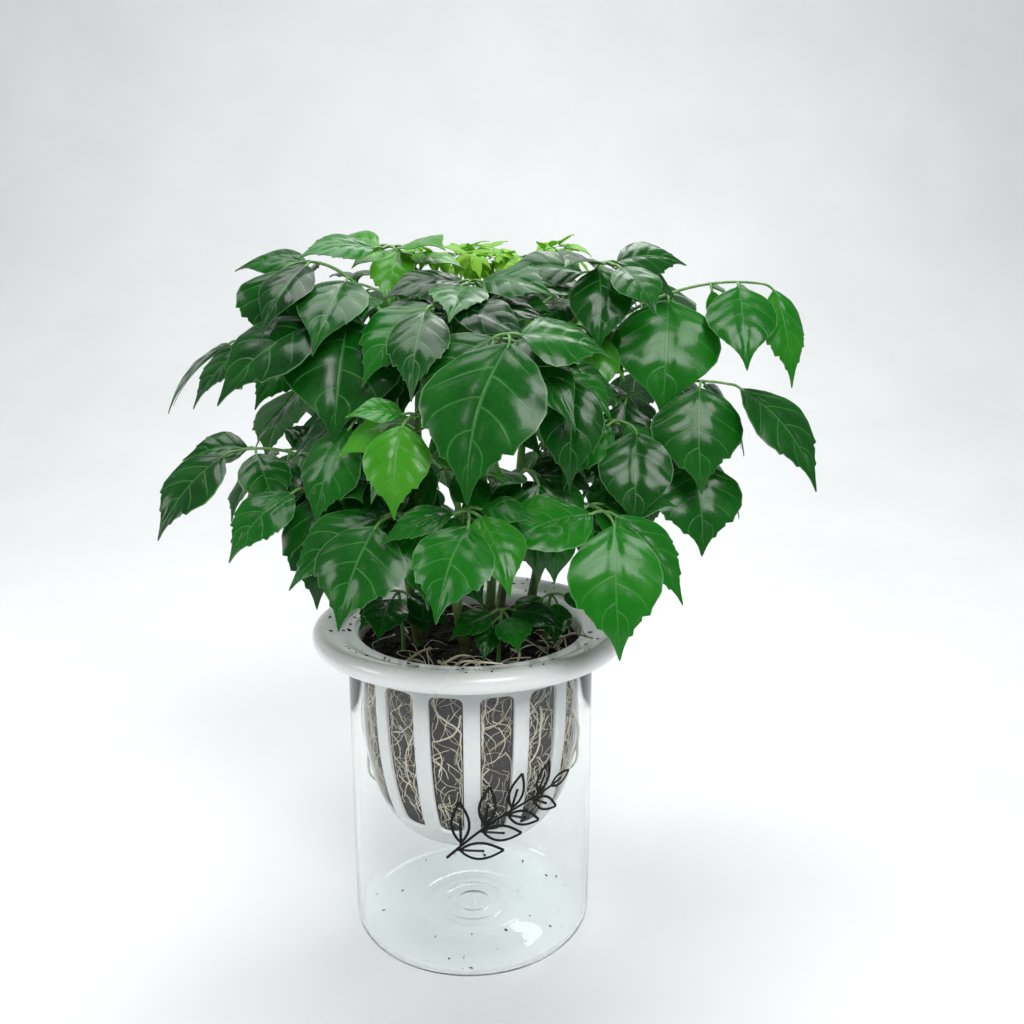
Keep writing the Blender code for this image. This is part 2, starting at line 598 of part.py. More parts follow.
def place_blade(stalk, leaflet, taken, own_blades, own_stalk):
    """A leaflet's blade at the first turn and droop that keep it clear of all that is placed."""
    share, azimuth, droop, length, width = leaflet
    angles = by_size(BLADE_SWING, BLADE_STEP)
    tries = [(turn, dip) for turn in angles for dip in angles]
    tries.sort(key=lambda each: each[0] ** 2 + each[1] ** 2)
    length = length * LEAFLET_SCALE * MM
    for size in BLADE_SIZES:
        for turn, dip in tries:
            along = heading(azimuth + turn, droop + dip)
            outward = stalk.level
            if share < 1:
                outward = stalk.side if stalk.side.dot(along) > 0 else -stalk.side
            root = stalk.at(share) + outward * STALK_WIDTH / 2
            base = root + (outward + along).normalized() * SIDE_STALK
            blade = Blade(base, azimuth + turn, droop + dip, length * size, width)
            slab = blade.tree(CLEARANCE)
            link = BVHTree.FromPolygons(
                [root + blade.normal * MM, root - blade.normal * MM, base], [(0, 1, 2)])
            points = blade.surfaces(CLEARANCE)[0]
            if (is_above_pot(points) and is_clear(slab, taken) and is_clear(slab, own_blades)
                    and is_clear(slab, [own_stalk]) and is_clear(link, taken)):
                return blade
    return blade


def attach_shares(stalk, blades, leaflets):
    """Where each leaflet leaves the main stalk. Two share a place only from opposite sides."""
    half = SIDE_STALK_WIDTH / 2 / stalk.length
    apart = 2.5 * half
    places = []
    for blade, (share, *_) in zip(blades, leaflets):
        if share == 1:
            places.append((None, 1.0))
            continue
        side = stalk.side.dot(heading(blade.azimuth, blade.droop)) > 0
        place = min(share, 1 - apart)
        while any(abs(place - p) < apart and (side == s or place != p) for s, p in places):
            place -= half / 2
        places.append((side, place))
    return places, half


def leaf_sheet(stalk, blades, leaflets):
    """Points and faces of the whole leaf: the main stalk as a ribbon, and a blade on each side stalk."""
    places, half = attach_shares(stalk, blades, leaflets)
    cuts = {0.0, 1.0}
    for side, place in places:
        if side is not None:
            cuts |= {place - half, place + half}
    for i in range(1, 8):
        share = i / 8
        if all(abs(share - cut) > 2 * half for cut in cuts):
            cuts.add(share)
    cuts = sorted(cuts)
    cuts = [cut for i, cut in enumerate(cuts) if i == 0 or cut - cuts[i - 1] > half * 0.2]
    points, faces = [], []
    for cut in cuts:
        points += stalk.edges(cut)
    for i in range(len(cuts) - 1):
        faces.append((2 * i, 2 * i + 1, 2 * i + 3, 2 * i + 2))
    for blade, (side, place) in zip(blades, places):
        if side is None:
            root = (len(cuts) * 2 - 2, len(cuts) * 2 - 1)
        else:
            near = min(range(len(cuts)), key=lambda i: abs(cuts[i] - (place - half)))
            row = 0 if side else 1
            root = (2 * near + row, 2 * near + 2 + row)
        rows, tip = blade.outline()
        reach = blade.side * SIDE_STALK_WIDTH / 2
        pairs = [(blade.base + reach, blade.base - reach), *rows]
        a, b = points[root[0]], points[root[1]]
        straight = (pairs[0][0] - a).length + (pairs[0][1] - b).length
        crossed = (pairs[0][1] - a).length + (pairs[0][0] - b).length
        last = root
        for left, right in pairs:
            first = len(points)
            points += [left, right] if straight <= crossed else [right, left]
            faces.append((last[0], last[1], first + 1, first))
            last = (first, first + 1)
        points.append(tip)
        faces.append((last[0], last[1], len(points) - 1))
    return points, faces


def make_leaf(name, points, faces, material, collection):
    leaf = add_mesh(name, points, [], faces, material, collection)
    sheet = bmesh.new()
    sheet.from_mesh(leaf.data)
    bmesh.ops.triangulate(sheet, faces=sheet.faces)
    bmesh.ops.recalc_face_normals(sheet, faces=sheet.faces)
    sheet.to_mesh(leaf.data)
    sheet.free()
    thick = leaf.modifiers.new("Thickness", "SOLIDIFY")
    thick.thickness = LEAF_THICKNESS
    thick.offset = 0
    return leaf


def tree_of(obj):
    evaluated = obj.evaluated_get(bpy.context.evaluated_depsgraph_get())
    mesh = evaluated.to_mesh()
    points = [vertex.co.copy() for vertex in mesh.vertices]
    tree = BVHTree.FromPolygons(points, [tuple(face.vertices) for face in mesh.polygons])
    evaluated.to_mesh_clear()
    return tree


def leaf_start(stem, height, end):
    """Where a main stalk begins: just off the stem's side, or just over the soil."""
    if isinstance(stem, str):
        centre, radius = stem_at(stem, height * MM)
        out = Vector((end.x - centre.x, end.y - centre.y, 0)).normalized()
        return centre + out * (radius + GAP + LEAF_THICKNESS)
    return above_soil((*stem, height)) + Vector((0, 0, GAP + LEAF_THICKNESS / 2))


def make_leaves(rows, obstacles, stems, collection):
    """Makes leaves from rows of (name, stem or place, height, end, leaflets, material)."""
    stalks, stalk_trees = [], []
    for name, stem, height, end, leaflets, material in rows:
        end = above_soil(end)
        own_stem = stem if isinstance(stem, str) else None
        start = leaf_start(stem, height, end)
        stalk = place_stalk(start, end, stems, own_stem, stalk_trees)
        stalks.append(stalk)
        stalk_trees.append(stalk.tree())
    blade_trees = []
    for index, (name, stem, height, end, leaflets, material) in enumerate(rows):
        stalk = stalks[index]
        taken = list(stems.values()) + obstacles + stalk_trees[:index] + stalk_trees[index + 1:]
        blades, own_trees = [], []
        for leaflet in leaflets:
            blade = place_blade(stalk, leaflet, taken + blade_trees, own_trees, stalk_trees[index])
            blades.append(blade)
            own_trees.append(blade.tree())
        blade_trees += own_trees
        points, faces = leaf_sheet(stalk, blades, leaflets)
        make_leaf(name, points, faces, material, collection)


def make_slot_root(name, slot, drop, length, sway, material, collection):
    """A root that leaves the ball in the middle of a slot and hangs in the gap beside the basket."""
    ball = ball_profile()
    steps = 6
    route = []
    for i in range(steps + 1):
        share = i / steps
        z = VASE_HEIGHT - (drop + length * share) * MM
        surface = max(r for r, _ in ball)
        for (r1, z1), (r2, z2) in zip(ball, ball[1:]):
            if z2 <= z <= z1:
                surface = r1 + (r2 - r1) * (z1 - z) / (z1 - z2)
        radius = surface + 2 * GAP + ROOT_RADIUS + ROOT_SWING * math.sin(math.pi * share)
        turn = slot_azimuth(slot) + math.radians(sway) * math.sin(math.pi * share * 1.5) / 2
        route.append(Vector((radius * math.cos(turn), radius * math.sin(turn), z)))
    return make_tube(name, route, ROOT_RADIUS, 0.5, material, collection)


def main():
    clear_scene()
    parts = new_collection("happiness_tree_in_vase")
    cutters = new_collection("cutters")
    clear_plastic = make_material("vase_plastic", rgba(0.93, 0.96, 0.96), 0.05, transmission=1.0)
    white_plastic = make_material("basket_plastic", rgba(0.90, 0.91, 0.90), 0.18)
    soil = make_material("soil", rgba(0.035, 0.028, 0.022), 0.95)
    stem_green = make_material("stem", rgba(0.10, 0.22, 0.05), 0.45)
    leaf_green = make_material("leaf", rgba(0.03, 0.15, 0.03), 0.25)
    young_green = make_material("young_leaf", rgba(0.36, 0.62, 0.10), 0.35)
    root_cream = make_material("root", rgba(0.62, 0.52, 0.34), 0.7)

    make_vase(clear_plastic, parts)
    basket = make_basket(white_plastic, parts, make_slot_cutters(white_plastic, cutters))
    make_root_ball(soil, parts)

    stems = {}
    for name in STEMS:
        stem = make_tube(name, stem_route(name), STEM_RADIUS, STEM_TAPER, stem_green, parts)
        stems[name] = tree_of(stem)
    roots = []
    for name, points in SURFACE_ROOTS.items():
        route = smooth_route([above_soil(point) for point in points], 3)
        roots.append(tree_of(make_tube(name, route, ROOT_RADIUS, 0.6, root_cream, parts)))
    for name, (slot, drop, length, sway) in SLOT_ROOTS.items():
        make_slot_root(name, slot, drop, length, sway, root_cream, parts)

    rows = [(*leaf, leaf_green) for leaf in LEAVES]
    rows += [(*shoot, young_green) for shoot in YOUNG_SHOOTS]
    rows += [(name, foot, 0, end, leaflets, leaf_green) for name, foot, end, leaflets in SEEDLINGS]
    make_leaves(rows, roots + [tree_of(basket)], stems, parts)

    bpy.context.view_layer.update()
    for obj in parts.objects:
        if obj.type == "MESH" and obj.name in ("vase", "basket", "root_ball"):
            shade_smooth(obj)


main()
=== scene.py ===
"""A young happiness tree in a slotted basket that hangs in a clear vase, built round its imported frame."""

import math
import random

import bmesh
import bpy
import numpy as np
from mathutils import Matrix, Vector
from mathutils.bvhtree import BVHTree


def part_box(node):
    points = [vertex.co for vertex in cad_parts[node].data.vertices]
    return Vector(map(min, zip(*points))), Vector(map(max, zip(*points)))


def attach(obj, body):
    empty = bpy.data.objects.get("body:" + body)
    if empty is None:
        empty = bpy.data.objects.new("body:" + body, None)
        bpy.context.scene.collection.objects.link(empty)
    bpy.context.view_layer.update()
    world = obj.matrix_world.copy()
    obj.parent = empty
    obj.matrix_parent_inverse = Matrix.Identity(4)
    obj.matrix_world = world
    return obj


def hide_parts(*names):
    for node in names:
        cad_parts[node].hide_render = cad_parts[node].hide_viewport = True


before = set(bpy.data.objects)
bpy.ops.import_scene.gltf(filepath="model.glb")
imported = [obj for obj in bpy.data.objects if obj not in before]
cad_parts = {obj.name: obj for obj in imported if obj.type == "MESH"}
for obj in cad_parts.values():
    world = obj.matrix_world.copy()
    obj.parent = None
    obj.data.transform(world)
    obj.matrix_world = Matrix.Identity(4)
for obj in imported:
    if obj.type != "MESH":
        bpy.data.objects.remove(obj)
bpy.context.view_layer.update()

# The studio: a pale floor that runs up into a pale wall, and soft lights in front, above and beside.
# The camera stands in front of the plant, a little above its leaves, and looks down at the vase.

FLOOR_SIZE = 7.0
WALL_AWAY = 1.5
WALL_HEIGHT = 3.0
COVE = 0.8
LIT_POINT = Vector((0, 0, 0.19))
LIGHTS = (  # name, place, width, watts
    ("key_light", (0.35, -1.10, 1.35), 0.75, 15.0),
    ("top_light", (-0.15, 0.25, 1.60), 1.00, 13.0),
    ("side_light", (-1.30, -0.30, 0.80), 0.50, 4.0),
    ("back_light", (0.5, 1.25, 1.90), 0.80, 14.0),
)


def begin(*pieces):
    """Selects these pieces and no others, so that the next operator acts on them or on a new one."""
    bpy.ops.object.select_all(action="DESELECT")
    for piece in pieces:
        piece.select_set(True)
    if pieces:
        bpy.context.view_layer.objects.active = pieces[0]


def edit(mode=True):
    """Goes into edit mode, or back out of it."""
    bpy.ops.object.mode_set(mode="EDIT" if mode else "OBJECT")


def pick(piece, test):
    """Selects the points that pass the test, of a piece in edit mode, and no others."""
    shape = bmesh.from_edit_mesh(piece.data)
    for point in shape.verts:
        point.select = bool(test(point.co))
    shape.select_flush_mode()
    bmesh.update_edit_mesh(piece.data)


def wire(tree, kind, inputs=None, **settings):
    """Adds a shader node, sets it up, and links or sets its inputs."""
    node = tree.nodes.new(kind)
    for name, value in settings.items():
        setattr(node, name, value)
    for name, value in (inputs or {}).items():
        if isinstance(value, bpy.types.NodeSocket):
            tree.links.new(value, node.inputs[name])
        else:
            node.inputs[name].default_value = value
    return node


def new_finish(name, **values):
    """A material with a Principled shader, and the values set on its own sockets."""
    material = bpy.data.materials.new(name)
    material.use_nodes = True
    shader = material.node_tree.nodes["Principled BSDF"]
    for socket, value in values.items():
        shader.inputs[socket.replace("_", " ")].default_value = value
    return material, material.node_tree, shader


def ramp(tree, factor, *stops):
    """A colour ramp with stops of (place, colour)."""
    node = wire(tree, "ShaderNodeValToRGB", {"Fac": factor})
    stops_here = node.color_ramp.elements
    while len(stops_here) < len(stops):
        stops_here.new(0.5)
    for stop, (place, colour) in zip(stops_here, stops):
        stop.position = place
        stop.color = (*colour, 1)
    return node.outputs["Color"]


def noise(tree, scale, detail=2.0, **others):
    """A noise pattern that is fixed to the piece."""
    place = wire(tree, "ShaderNodeTexCoord").outputs["Object"]
    inputs = {"Vector": place, "Scale": scale, "Detail": detail, **others}
    return wire(tree, "ShaderNodeTexNoise", inputs).outputs["Fac"]


def feed(tree, shader, **sockets):
    """Links patterns to the shader's sockets."""
    for socket, value in sockets.items():
        tree.links.new(value, shader.inputs[socket.replace("_", " ")])


begin()
bpy.ops.mesh.primitive_plane_add(size=FLOOR_SIZE, location=(0, WALL_AWAY - FLOOR_SIZE / 2, 0))
floor = bpy.context.object
floor.name = "studio_floor"
bpy.ops.object.transform_apply(location=True)
edit()
pick(floor, lambda point: point.y > WALL_AWAY - 0.01)
bpy.ops.mesh.extrude_region_move(TRANSFORM_OT_translate={"value": (0, 0, WALL_HEIGHT)})
pick(floor, lambda point: point.y > WALL_AWAY - 0.01 and point.z < 0.01)
bpy.ops.mesh.bevel(offset=COVE, segments=16, affect="EDGES")
edit(False)
bpy.ops.object.shade_smooth()
floor_paint, tree, shader = new_finish("floor_paint", Roughness=0.55)
feed(tree, shader, Base_Color=ramp(
    tree, noise(tree, 6.0, 4.0), (0.3, (0.80, 0.82, 0.83)), (0.7, (0.86, 0.87, 0.875))))
floor.data.materials.append(floor_paint)

for name, place, width, watts in LIGHTS:
    lamp = bpy.data.lights.new(name, "AREA")
    lamp.size = width
    lamp.energy = watts
    holder = bpy.data.objects.new(name, lamp)
    holder.location = place
    holder.rotation_euler = (LIT_POINT - Vector(place)).to_track_quat("-Z", "Y").to_euler()
    bpy.context.scene.collection.objects.link(holder)

room = bpy.data.worlds.new("room")
room.use_nodes = True
room.node_tree.nodes["Background"].inputs["Color"].default_value = (0.93, 0.96, 0.97, 1)
room.node_tree.nodes["Background"].inputs["Strength"].default_value = 0.24
bpy.context.scene.world = room
bpy.context.scene.view_settings.view_transform = "Standard"

eye = bpy.data.cameras.new("camera")
eye.sensor_width = 36
eye.lens = 35.16
eye.clip_start = 0.01
camera = bpy.data.objects.new("camera", eye)
camera.location = (0, -0.440, 0.303)
camera.rotation_euler = (math.radians(76.9), 0, math.radians(-2.5))
bpy.context.scene.collection.objects.link(camera)
bpy.context.scene.camera = camera


# The vase: one clear plastic cylinder, injection moulded, with a rounded foot and a stepped floor.
# The mould leaves a small pip in the middle of the floor and shallow rings round it.

MM = 0.001
TURNS = 180
VASE_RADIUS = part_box("vase")[1].x
VASE_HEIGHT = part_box("vase")[1].z
VASE_WALL = 2.2 * MM
VASE_FLOOR = 2.4 * MM
FOOT_ROUND = 7.0 * MM
FLOOR_RING = 38.0 * MM
FLOOR_STEP = 0.9 * MM
UNDER_FLOOR = 0.6 * MM
MOULD_RINGS = ((8.0, 0.5), (15.0, 0.5), (26.0, 0.4))  # radius and height in millimetres


def arc(centre, radius, start, end, steps):
    """Points (r, z) on an arc, from one angle to the other in degrees."""
    angles = [math.radians(start + (end - start) * i / steps) for i in range(steps + 1)]
    return [(centre[0] + radius * math.cos(a), centre[1] + radius * math.sin(a)) for a in angles]


def turn(name, profile, steps=TURNS):
    """Draws a profile of (radius, height) points, which runs down its outer side, and spins it."""
    begin()
    bpy.ops.mesh.primitive_plane_add(size=MM)
    piece = bpy.context.object
    piece.name = name
    edit()
    bpy.ops.mesh.merge(type="CENTER")
    here = Vector()
    for i, (r, z) in enumerate(profile):
        step = Vector((r, 0, z)) - here
        if i == 0:
            bpy.ops.transform.translate(value=step)
        else:
            bpy.ops.mesh.extrude_region_move(TRANSFORM_OT_translate={"value": step})
        here += step
    bpy.ops.mesh.select_all(action="SELECT")
    bpy.ops.mesh.spin(steps=steps, angle=2 * math.pi, center=(0, 0, 0), axis=(0, 0, 1))
    bpy.ops.mesh.select_all(action="SELECT")
    bpy.ops.mesh.remove_doubles(threshold=0.01 * MM)
    bpy.ops.mesh.normals_make_consistent(inside=False)
    edit(False)
    return piece


def finish_piece(piece, material, smooth=35, replaces=()):
    """Gives the piece its material and its shading, hangs it on the root body, and hides the frame's parts
    that it replaces.
    """
    if material:
        piece.data.materials.clear()
        piece.data.materials.append(material)
    begin(piece)
    bpy.ops.object.shade_smooth_by_angle(angle=math.radians(smooth))
    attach(piece, "root")
    if replaces:
        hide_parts(*replaces)


def spread(tree, value, low, high, to_low, to_high):
    """The value, with its range from low to high spread over another range."""
    return wire(tree, "ShaderNodeMapRange", {
        "Value": value, "From Min": low, "From Max": high, "To Min": to_low, "To Max": to_high,
    }).outputs["Result"]


def bumped(tree, height, strength, distance, under=None):
    """A surface raised by this height, on top of another bump where one is given."""
    inputs = {"Height": height, "Strength": strength, "Distance": distance}
    if under is not None:
        inputs["Normal"] = under
    return wire(tree, "ShaderNodeBump", inputs).outputs["Normal"]


def mix_shaders(tree, share, first, second):
    """Gives the material two shaders, with this share of the second."""
    both = wire(tree, "ShaderNodeMixShader", {
        "Fac": share, 1: first.outputs["BSDF"], 2: second.outputs["BSDF"]})
    tree.links.new(both.outputs["Shader"], tree.nodes["Material Output"].inputs["Surface"])


inner = VASE_RADIUS - VASE_WALL
inner_round = FOOT_ROUND - VASE_WALL
floor_top = VASE_FLOOR + FLOOR_STEP
profile = [(0, floor_top + 0.6 * MM), (1.4 * MM, floor_top + 0.5 * MM), (3.0 * MM, floor_top)]
for ring, height in MOULD_RINGS:
    profile += [((ring - 1) * MM, floor_top), (ring * MM, floor_top + height * MM),
                ((ring + 1) * MM, floor_top)]
profile += [(FLOOR_RING - 1.6 * MM, floor_top), (FLOOR_RING, VASE_FLOOR)]
profile += arc((inner - inner_round, VASE_FLOOR + inner_round), inner_round, -90, 0, 12)
profile += [(inner, VASE_HEIGHT * share) for share in (0.25, 0.5, 0.75)]
profile += arc((VASE_RADIUS - VASE_WALL / 2, VASE_HEIGHT - VASE_WALL / 2), VASE_WALL / 2, 180, 0, 8)
profile += [(VASE_RADIUS, VASE_HEIGHT * share) for share in (0.75, 0.5, 0.25)]
profile += arc((VASE_RADIUS - FOOT_ROUND, FOOT_ROUND), FOOT_ROUND, 0, -90, 14)
profile += [(FLOOR_RING, 0.35 * MM), (FLOOR_RING - 2 * MM, UNDER_FLOOR), (0, UNDER_FLOOR)]
vase = turn("clear_vase", profile)

clear_plastic, tree, shader = new_finish(
    "clear_plastic", Base_Color=(0.975, 0.99, 0.985, 1), IOR=1.42, Transmission_Weight=1.0)
smears, ripple = noise(tree, 38.0, 5.0), noise(tree, 22.0, 1.0)
feed(tree, shader, Roughness=spread(tree, smears, 0.45, 0.8, 0.015, 0.07),
     Normal=bumped(tree, ripple, 0.04, MM))
lamp_ray = wire(tree, "ShaderNodeLightPath").outputs["Is Shadow Ray"]
let_through = wire(tree, "ShaderNodeBsdfTransparent", {"Color": (0.84, 0.86, 0.86, 1)})
mix_shaders(tree, lamp_ray, shader, let_through)
finish_piece(vase, clear_plastic, replaces=["vase"])


# The sprig printed on the front of the vase: thin black ink lines, pad printed on the outside
# of the wall. A bent stem carries leaves drawn in outline, in pairs, and one at its tip.

INK_WIDTH = 1.2 * MM
INK_DEPTH = 0.06 * MM
SPRIG_MIDDLE = (12.0, 75.0)  # millimetres round the wall from the front, and up
SPRIG_TILT = math.radians(30)
SPRIG_LENGTH = 54.0
SPRIG_BEND = 4.5
SPRIG_PAIRS = 4
SPRIG_LEAF = 19.0
SPRIG_LEAN = 48  # degrees from the stem


def smooth_route(points, steps):
    """A smooth curve through the points, with this many steps between two of them."""
    points = [Vector(point) for point in points]
    route = []
    for i in range(len(points) - 1):
        p0, p1 = points[max(i - 1, 0)], points[i]
        p2, p3 = points[i + 1], points[min(i + 2, len(points) - 1)]
        for step in range(steps):
            t = step / steps
            route.append(0.5 * (2 * p1 + (p2 - p0) * t + (2 * p0 - 5 * p1 + 4 * p2 - p3) * t ** 2
                                + (3 * p1 - p0 - 3 * p2 + p3) * t ** 3))
    return route + [points[-1]]


def draw_tubes(name, tubes, resolution=1):
    """One mesh of round tubes, from rows of (route, radii along it)."""
    curve = bpy.data.curves.new(name, "CURVE")
    curve.dimensions = "3D"
    curve.bevel_depth = 1.0
    curve.bevel_resolution = resolution
    curve.use_fill_caps = True
    for route, radii in tubes:
        spline = curve.splines.new("POLY")
        spline.points.add(len(route) - 1)
        for point, spot, radius in zip(spline.points, route, radii):
            point.co = (*spot, 1)
            point.radius = radius
    drawn = bpy.data.objects.new(name, curve)
    bpy.context.scene.collection.objects.link(drawn)
    begin(drawn)
    bpy.ops.object.convert(target="MESH")
    return bpy.context.object


def sprig_lines():
    """Lines of the sprig on a flat sheet, along its own axis: the stem, then each leaf's outline."""
    def stem_at(share):
        return Vector((SPRIG_LENGTH * (share - 0.5), SPRIG_BEND * math.sin(math.pi * share)))

    lines = [[stem_at(i / 16) for i in range(17)]]
    leaves = [(1.0, 0.0, 12.0)]
    for pair in range(SPRIG_PAIRS):
        share = 0.16 + 0.72 * pair / (SPRIG_PAIRS - 1)
        length = SPRIG_LEAF - 1.6 * pair
        leaves += [(share, SPRIG_LEAN, length), (share - 0.05, -SPRIG_LEAN, length)]
    for share, lean, length in leaves:
        foot = stem_at(min(share, 1))
        ahead = stem_at(min(share, 1)) - stem_at(min(share, 1) - 0.02)
        turned = math.atan2(ahead.y, ahead.x) + math.radians(lean)
        along = Vector((math.cos(turned), math.sin(turned)))
        across = Vector((-along.y, along.x))
        stalk = foot + along * 1.5
        for side in (-1, 1):
            outline = []
            for i in range(11):
                s = i / 10
                belly = 0.2 * length * math.sin(math.pi * s ** 0.85)
                outline.append(stalk + along * length * s + across * side * belly)
            lines.append(outline)
        lines.append([foot, stalk, stalk + along * length * 0.55])
    return lines


def polar(radius, turned, z):
    return (radius * math.cos(turned), radius * math.sin(turned), z)


def on_wall(point):
    """A point of the flat drawing, wrapped round the vase's outside at the front."""
    x = point.x * math.cos(SPRIG_TILT) - point.y * math.sin(SPRIG_TILT) + SPRIG_MIDDLE[0]
    y = point.x * math.sin(SPRIG_TILT) + point.y * math.cos(SPRIG_TILT) + SPRIG_MIDDLE[1]
    return Vector(polar(VASE_RADIUS, x * MM / VASE_RADIUS - math.pi / 2, y * MM))


lines = [[on_wall(point) for point in line] for line in sprig_lines()]
sprig = draw_tubes("printed_sprig", [(line, [INK_WIDTH / 2] * len(line)) for line in lines], 2)
for point in sprig.data.vertices:
    radius = math.hypot(point.co.x, point.co.y)
    lifted = VASE_RADIUS + (1.5 * INK_DEPTH if radius > VASE_RADIUS else 0.5 * INK_DEPTH)
    point.co.x *= lifted / radius
    point.co.y *= lifted / radius
ink, tree, shader = new_finish("black_ink", Roughness=0.5, Specular_IOR_Level=0.2)
feed(tree, shader, Base_Color=ramp(
    tree, noise(tree, 900.0), (0.3, (0.002, 0.003, 0.003)), (0.8, (0.010, 0.012, 0.012))))
finish_piece(sprig, ink)


# The basket: white glossy plastic, moulded in one piece. A wide rolled collar hangs it on the vase's
# rim, and fifteen slots in its bowl let water and roots through.

BASKET_WALL = 1.6 * MM
GAP = 0.3 * MM
BASKET_PLAY = 1.9 * MM
NECK = 6.0 * MM
BOWL_FULLNESS = 2.6
BOWL_CORNER = 4.0
ROLL_RADIUS = 4.6 * MM
COLLAR_RISE = 3.0 * MM
SEAT_WIDTH = 4.0 * MM
SLOT_COUNT = 15
RIB_WIDTH = 7.2 * MM
SLOT_TOP = 13.0 * MM
SLOT_HEIGHT = 68.0 * MM
SLOT_ROUND = 3.0 * MM
basket_low, basket_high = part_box("basket")
BOWL_RADIUS = VASE_RADIUS - VASE_WALL - BASKET_PLAY
BASKET_DEPTH = VASE_HEIGHT - NECK - basket_low.z
COLLAR_RADIUS = basket_high.x
SEAT_Z = VASE_HEIGHT + GAP


def bowl_radius(z):
    depth = min(max((VASE_HEIGHT - NECK - z) / BASKET_DEPTH, 0), 1)
    return BOWL_RADIUS * max(1 - depth ** BOWL_FULLNESS, 0) ** (1 / BOWL_CORNER)


def slot_rows():
    """Heights of the rows of faces down the bowl, close together at the round ends of the slots."""
    top, bottom = VASE_HEIGHT - SLOT_TOP, VASE_HEIGHT - SLOT_TOP - SLOT_HEIGHT
    ends = [SLOT_ROUND * share for share in (0, 0.08, 0.25, 0.55, 1.0)]
    straight = [top - SLOT_ROUND - (SLOT_HEIGHT - 2 * SLOT_ROUND) * i / 16 for i in range(1, 16)]
    rows = [VASE_HEIGHT - NECK, VASE_HEIGHT - NECK - 3.5 * MM] + [top - end for end in ends] + straight
    rows += [bottom + end for end in reversed(ends)]
    low = VASE_HEIGHT - NECK - BASKET_DEPTH
    for i in range(1, 15):
        rows.append(low + (bottom - low) * (1 - math.sin(math.pi / 2 * i / 14)))
    return rows, top, bottom


rows, slot_top, slot_bottom = slot_rows()
roll = ROLL_RADIUS - BASKET_WALL
roll_centre = (COLLAR_RADIUS - ROLL_RADIUS, SEAT_Z + COLLAR_RISE - roll)
seat_inner = VASE_RADIUS - VASE_WALL - GAP
turn_in = seat_inner - BOWL_RADIUS
profile = arc(roll_centre, roll, -62, 90, 14)
seat_outer = (seat_inner + SEAT_WIDTH, SEAT_Z)
for share in (0.85, 0.7, 0.55, 0.4, 0.25, 0.12):
    profile.append((seat_outer[0] + (roll_centre[0] - seat_outer[0]) * share,
                    SEAT_Z + COLLAR_RISE * math.sin(math.pi / 2 * share)))
profile += [seat_outer] + arc((seat_inner, SEAT_Z - turn_in), turn_in, 90, 180, 6)
profile += [(bowl_radius(z), z) for z in rows]
basket = turn("slotted_basket", profile)

PITCH = 2 * math.pi / SLOT_COUNT
RIB_SHARE = 1 / 6  # of a pitch, on either side of a rib's middle, before the ribs get their width
for point in basket.data.vertices:
    x, y, z = point.co
    radius = math.hypot(x, y)
    if z > VASE_HEIGHT - NECK or radius < 12 * MM:
        continue
    from_end = min(slot_top - z, z - slot_bottom)
    corner = SLOT_ROUND - min(max(from_end, 0), SLOT_ROUND)
    rounding = SLOT_ROUND - math.sqrt(SLOT_ROUND ** 2 - corner ** 2)
    half = min((RIB_WIDTH / 2 + rounding) / radius / PITCH, 0.4)
    turned = (math.atan2(y, x) + math.pi / 2) / PITCH
    whole = math.floor(turned + 1e-6)
    part = turned - whole
    from_rib = min(part, 1 - part)
    if from_rib < RIB_SHARE:
        moved = from_rib / RIB_SHARE * half
    else:
        moved = half + (from_rib - RIB_SHARE) / (0.5 - RIB_SHARE) * (0.5 - half)
    turned = (whole + (moved if part <= 0.5 else 1 - moved)) * PITCH - math.pi / 2
    point.co.x, point.co.y = radius * math.cos(turned), radius * math.sin(turned)


def in_slot(centre):
    """Whether a face's middle lies in one of the slots."""
    if not slot_bottom < centre.z < slot_top:
        return False
    part = ((math.atan2(centre.y, centre.x) + math.pi / 2) / PITCH) % 1
    radius = math.hypot(centre.x, centre.y)
    from_end = min(slot_top - centre.z, centre.z - slot_bottom)
    corner = SLOT_ROUND - min(from_end, SLOT_ROUND)
    rounding = SLOT_ROUND - math.sqrt(SLOT_ROUND ** 2 - corner ** 2)
    return min(part, 1 - part) > (RIB_WIDTH / 2 + rounding) / radius / PITCH


begin(basket)
edit()
bpy.ops.mesh.select_mode(type="FACE")
shape = bmesh.from_edit_mesh(basket.data)
outward = sum(1 if face.normal.dot(Vector((*face.calc_center_median().xy, 0))) > 0 else -1
              for face in shape.faces if face.calc_center_median().z < slot_top)
if outward < 0:
    bpy.ops.mesh.select_all(action="SELECT")
    bpy.ops.mesh.flip_normals()
for face in shape.faces:
    face.select = in_slot(face.calc_center_median())
bmesh.update_edit_mesh(basket.data)
bpy.ops.mesh.delete(type="FACE")
bpy.ops.mesh.select_mode(type="VERT")
edit(False)
wall = basket.modifiers.new("wall", "SOLIDIFY")
wall.thickness = BASKET_WALL
wall.offset = -1
wall.use_even_offset = True
soften = basket.modifiers.new("soften", "BEVEL")
soften.width = 0.35 * MM
soften.segments = 2
soften.limit_method = "ANGLE"
soften.angle_limit = math.radians(50)
for modifier in ("wall", "soften"):
    bpy.ops.object.modifier_apply(modifier=modifier)

white_plastic, tree, shader = new_finish("white_plastic", Specular_IOR_Level=0.5, Coat_Weight=0.2)
haze, dust = noise(tree, 30.0, 6.0), noise(tree, 420.0, 3.0)
feed(tree, shader, Roughness=spread(tree, haze, 0.3, 0.75, 0.17, 0.34),
     Base_Color=ramp(tree, dust, (0.0, (0.50, 0.47, 0.42)), (0.30, (0.80, 0.80, 0.77)),
                     (0.36, (0.87, 0.885, 0.88))),
     Normal=bumped(tree, haze, 0.06, MM))
finish_piece(basket, white_plastic, replaces=["basket"])


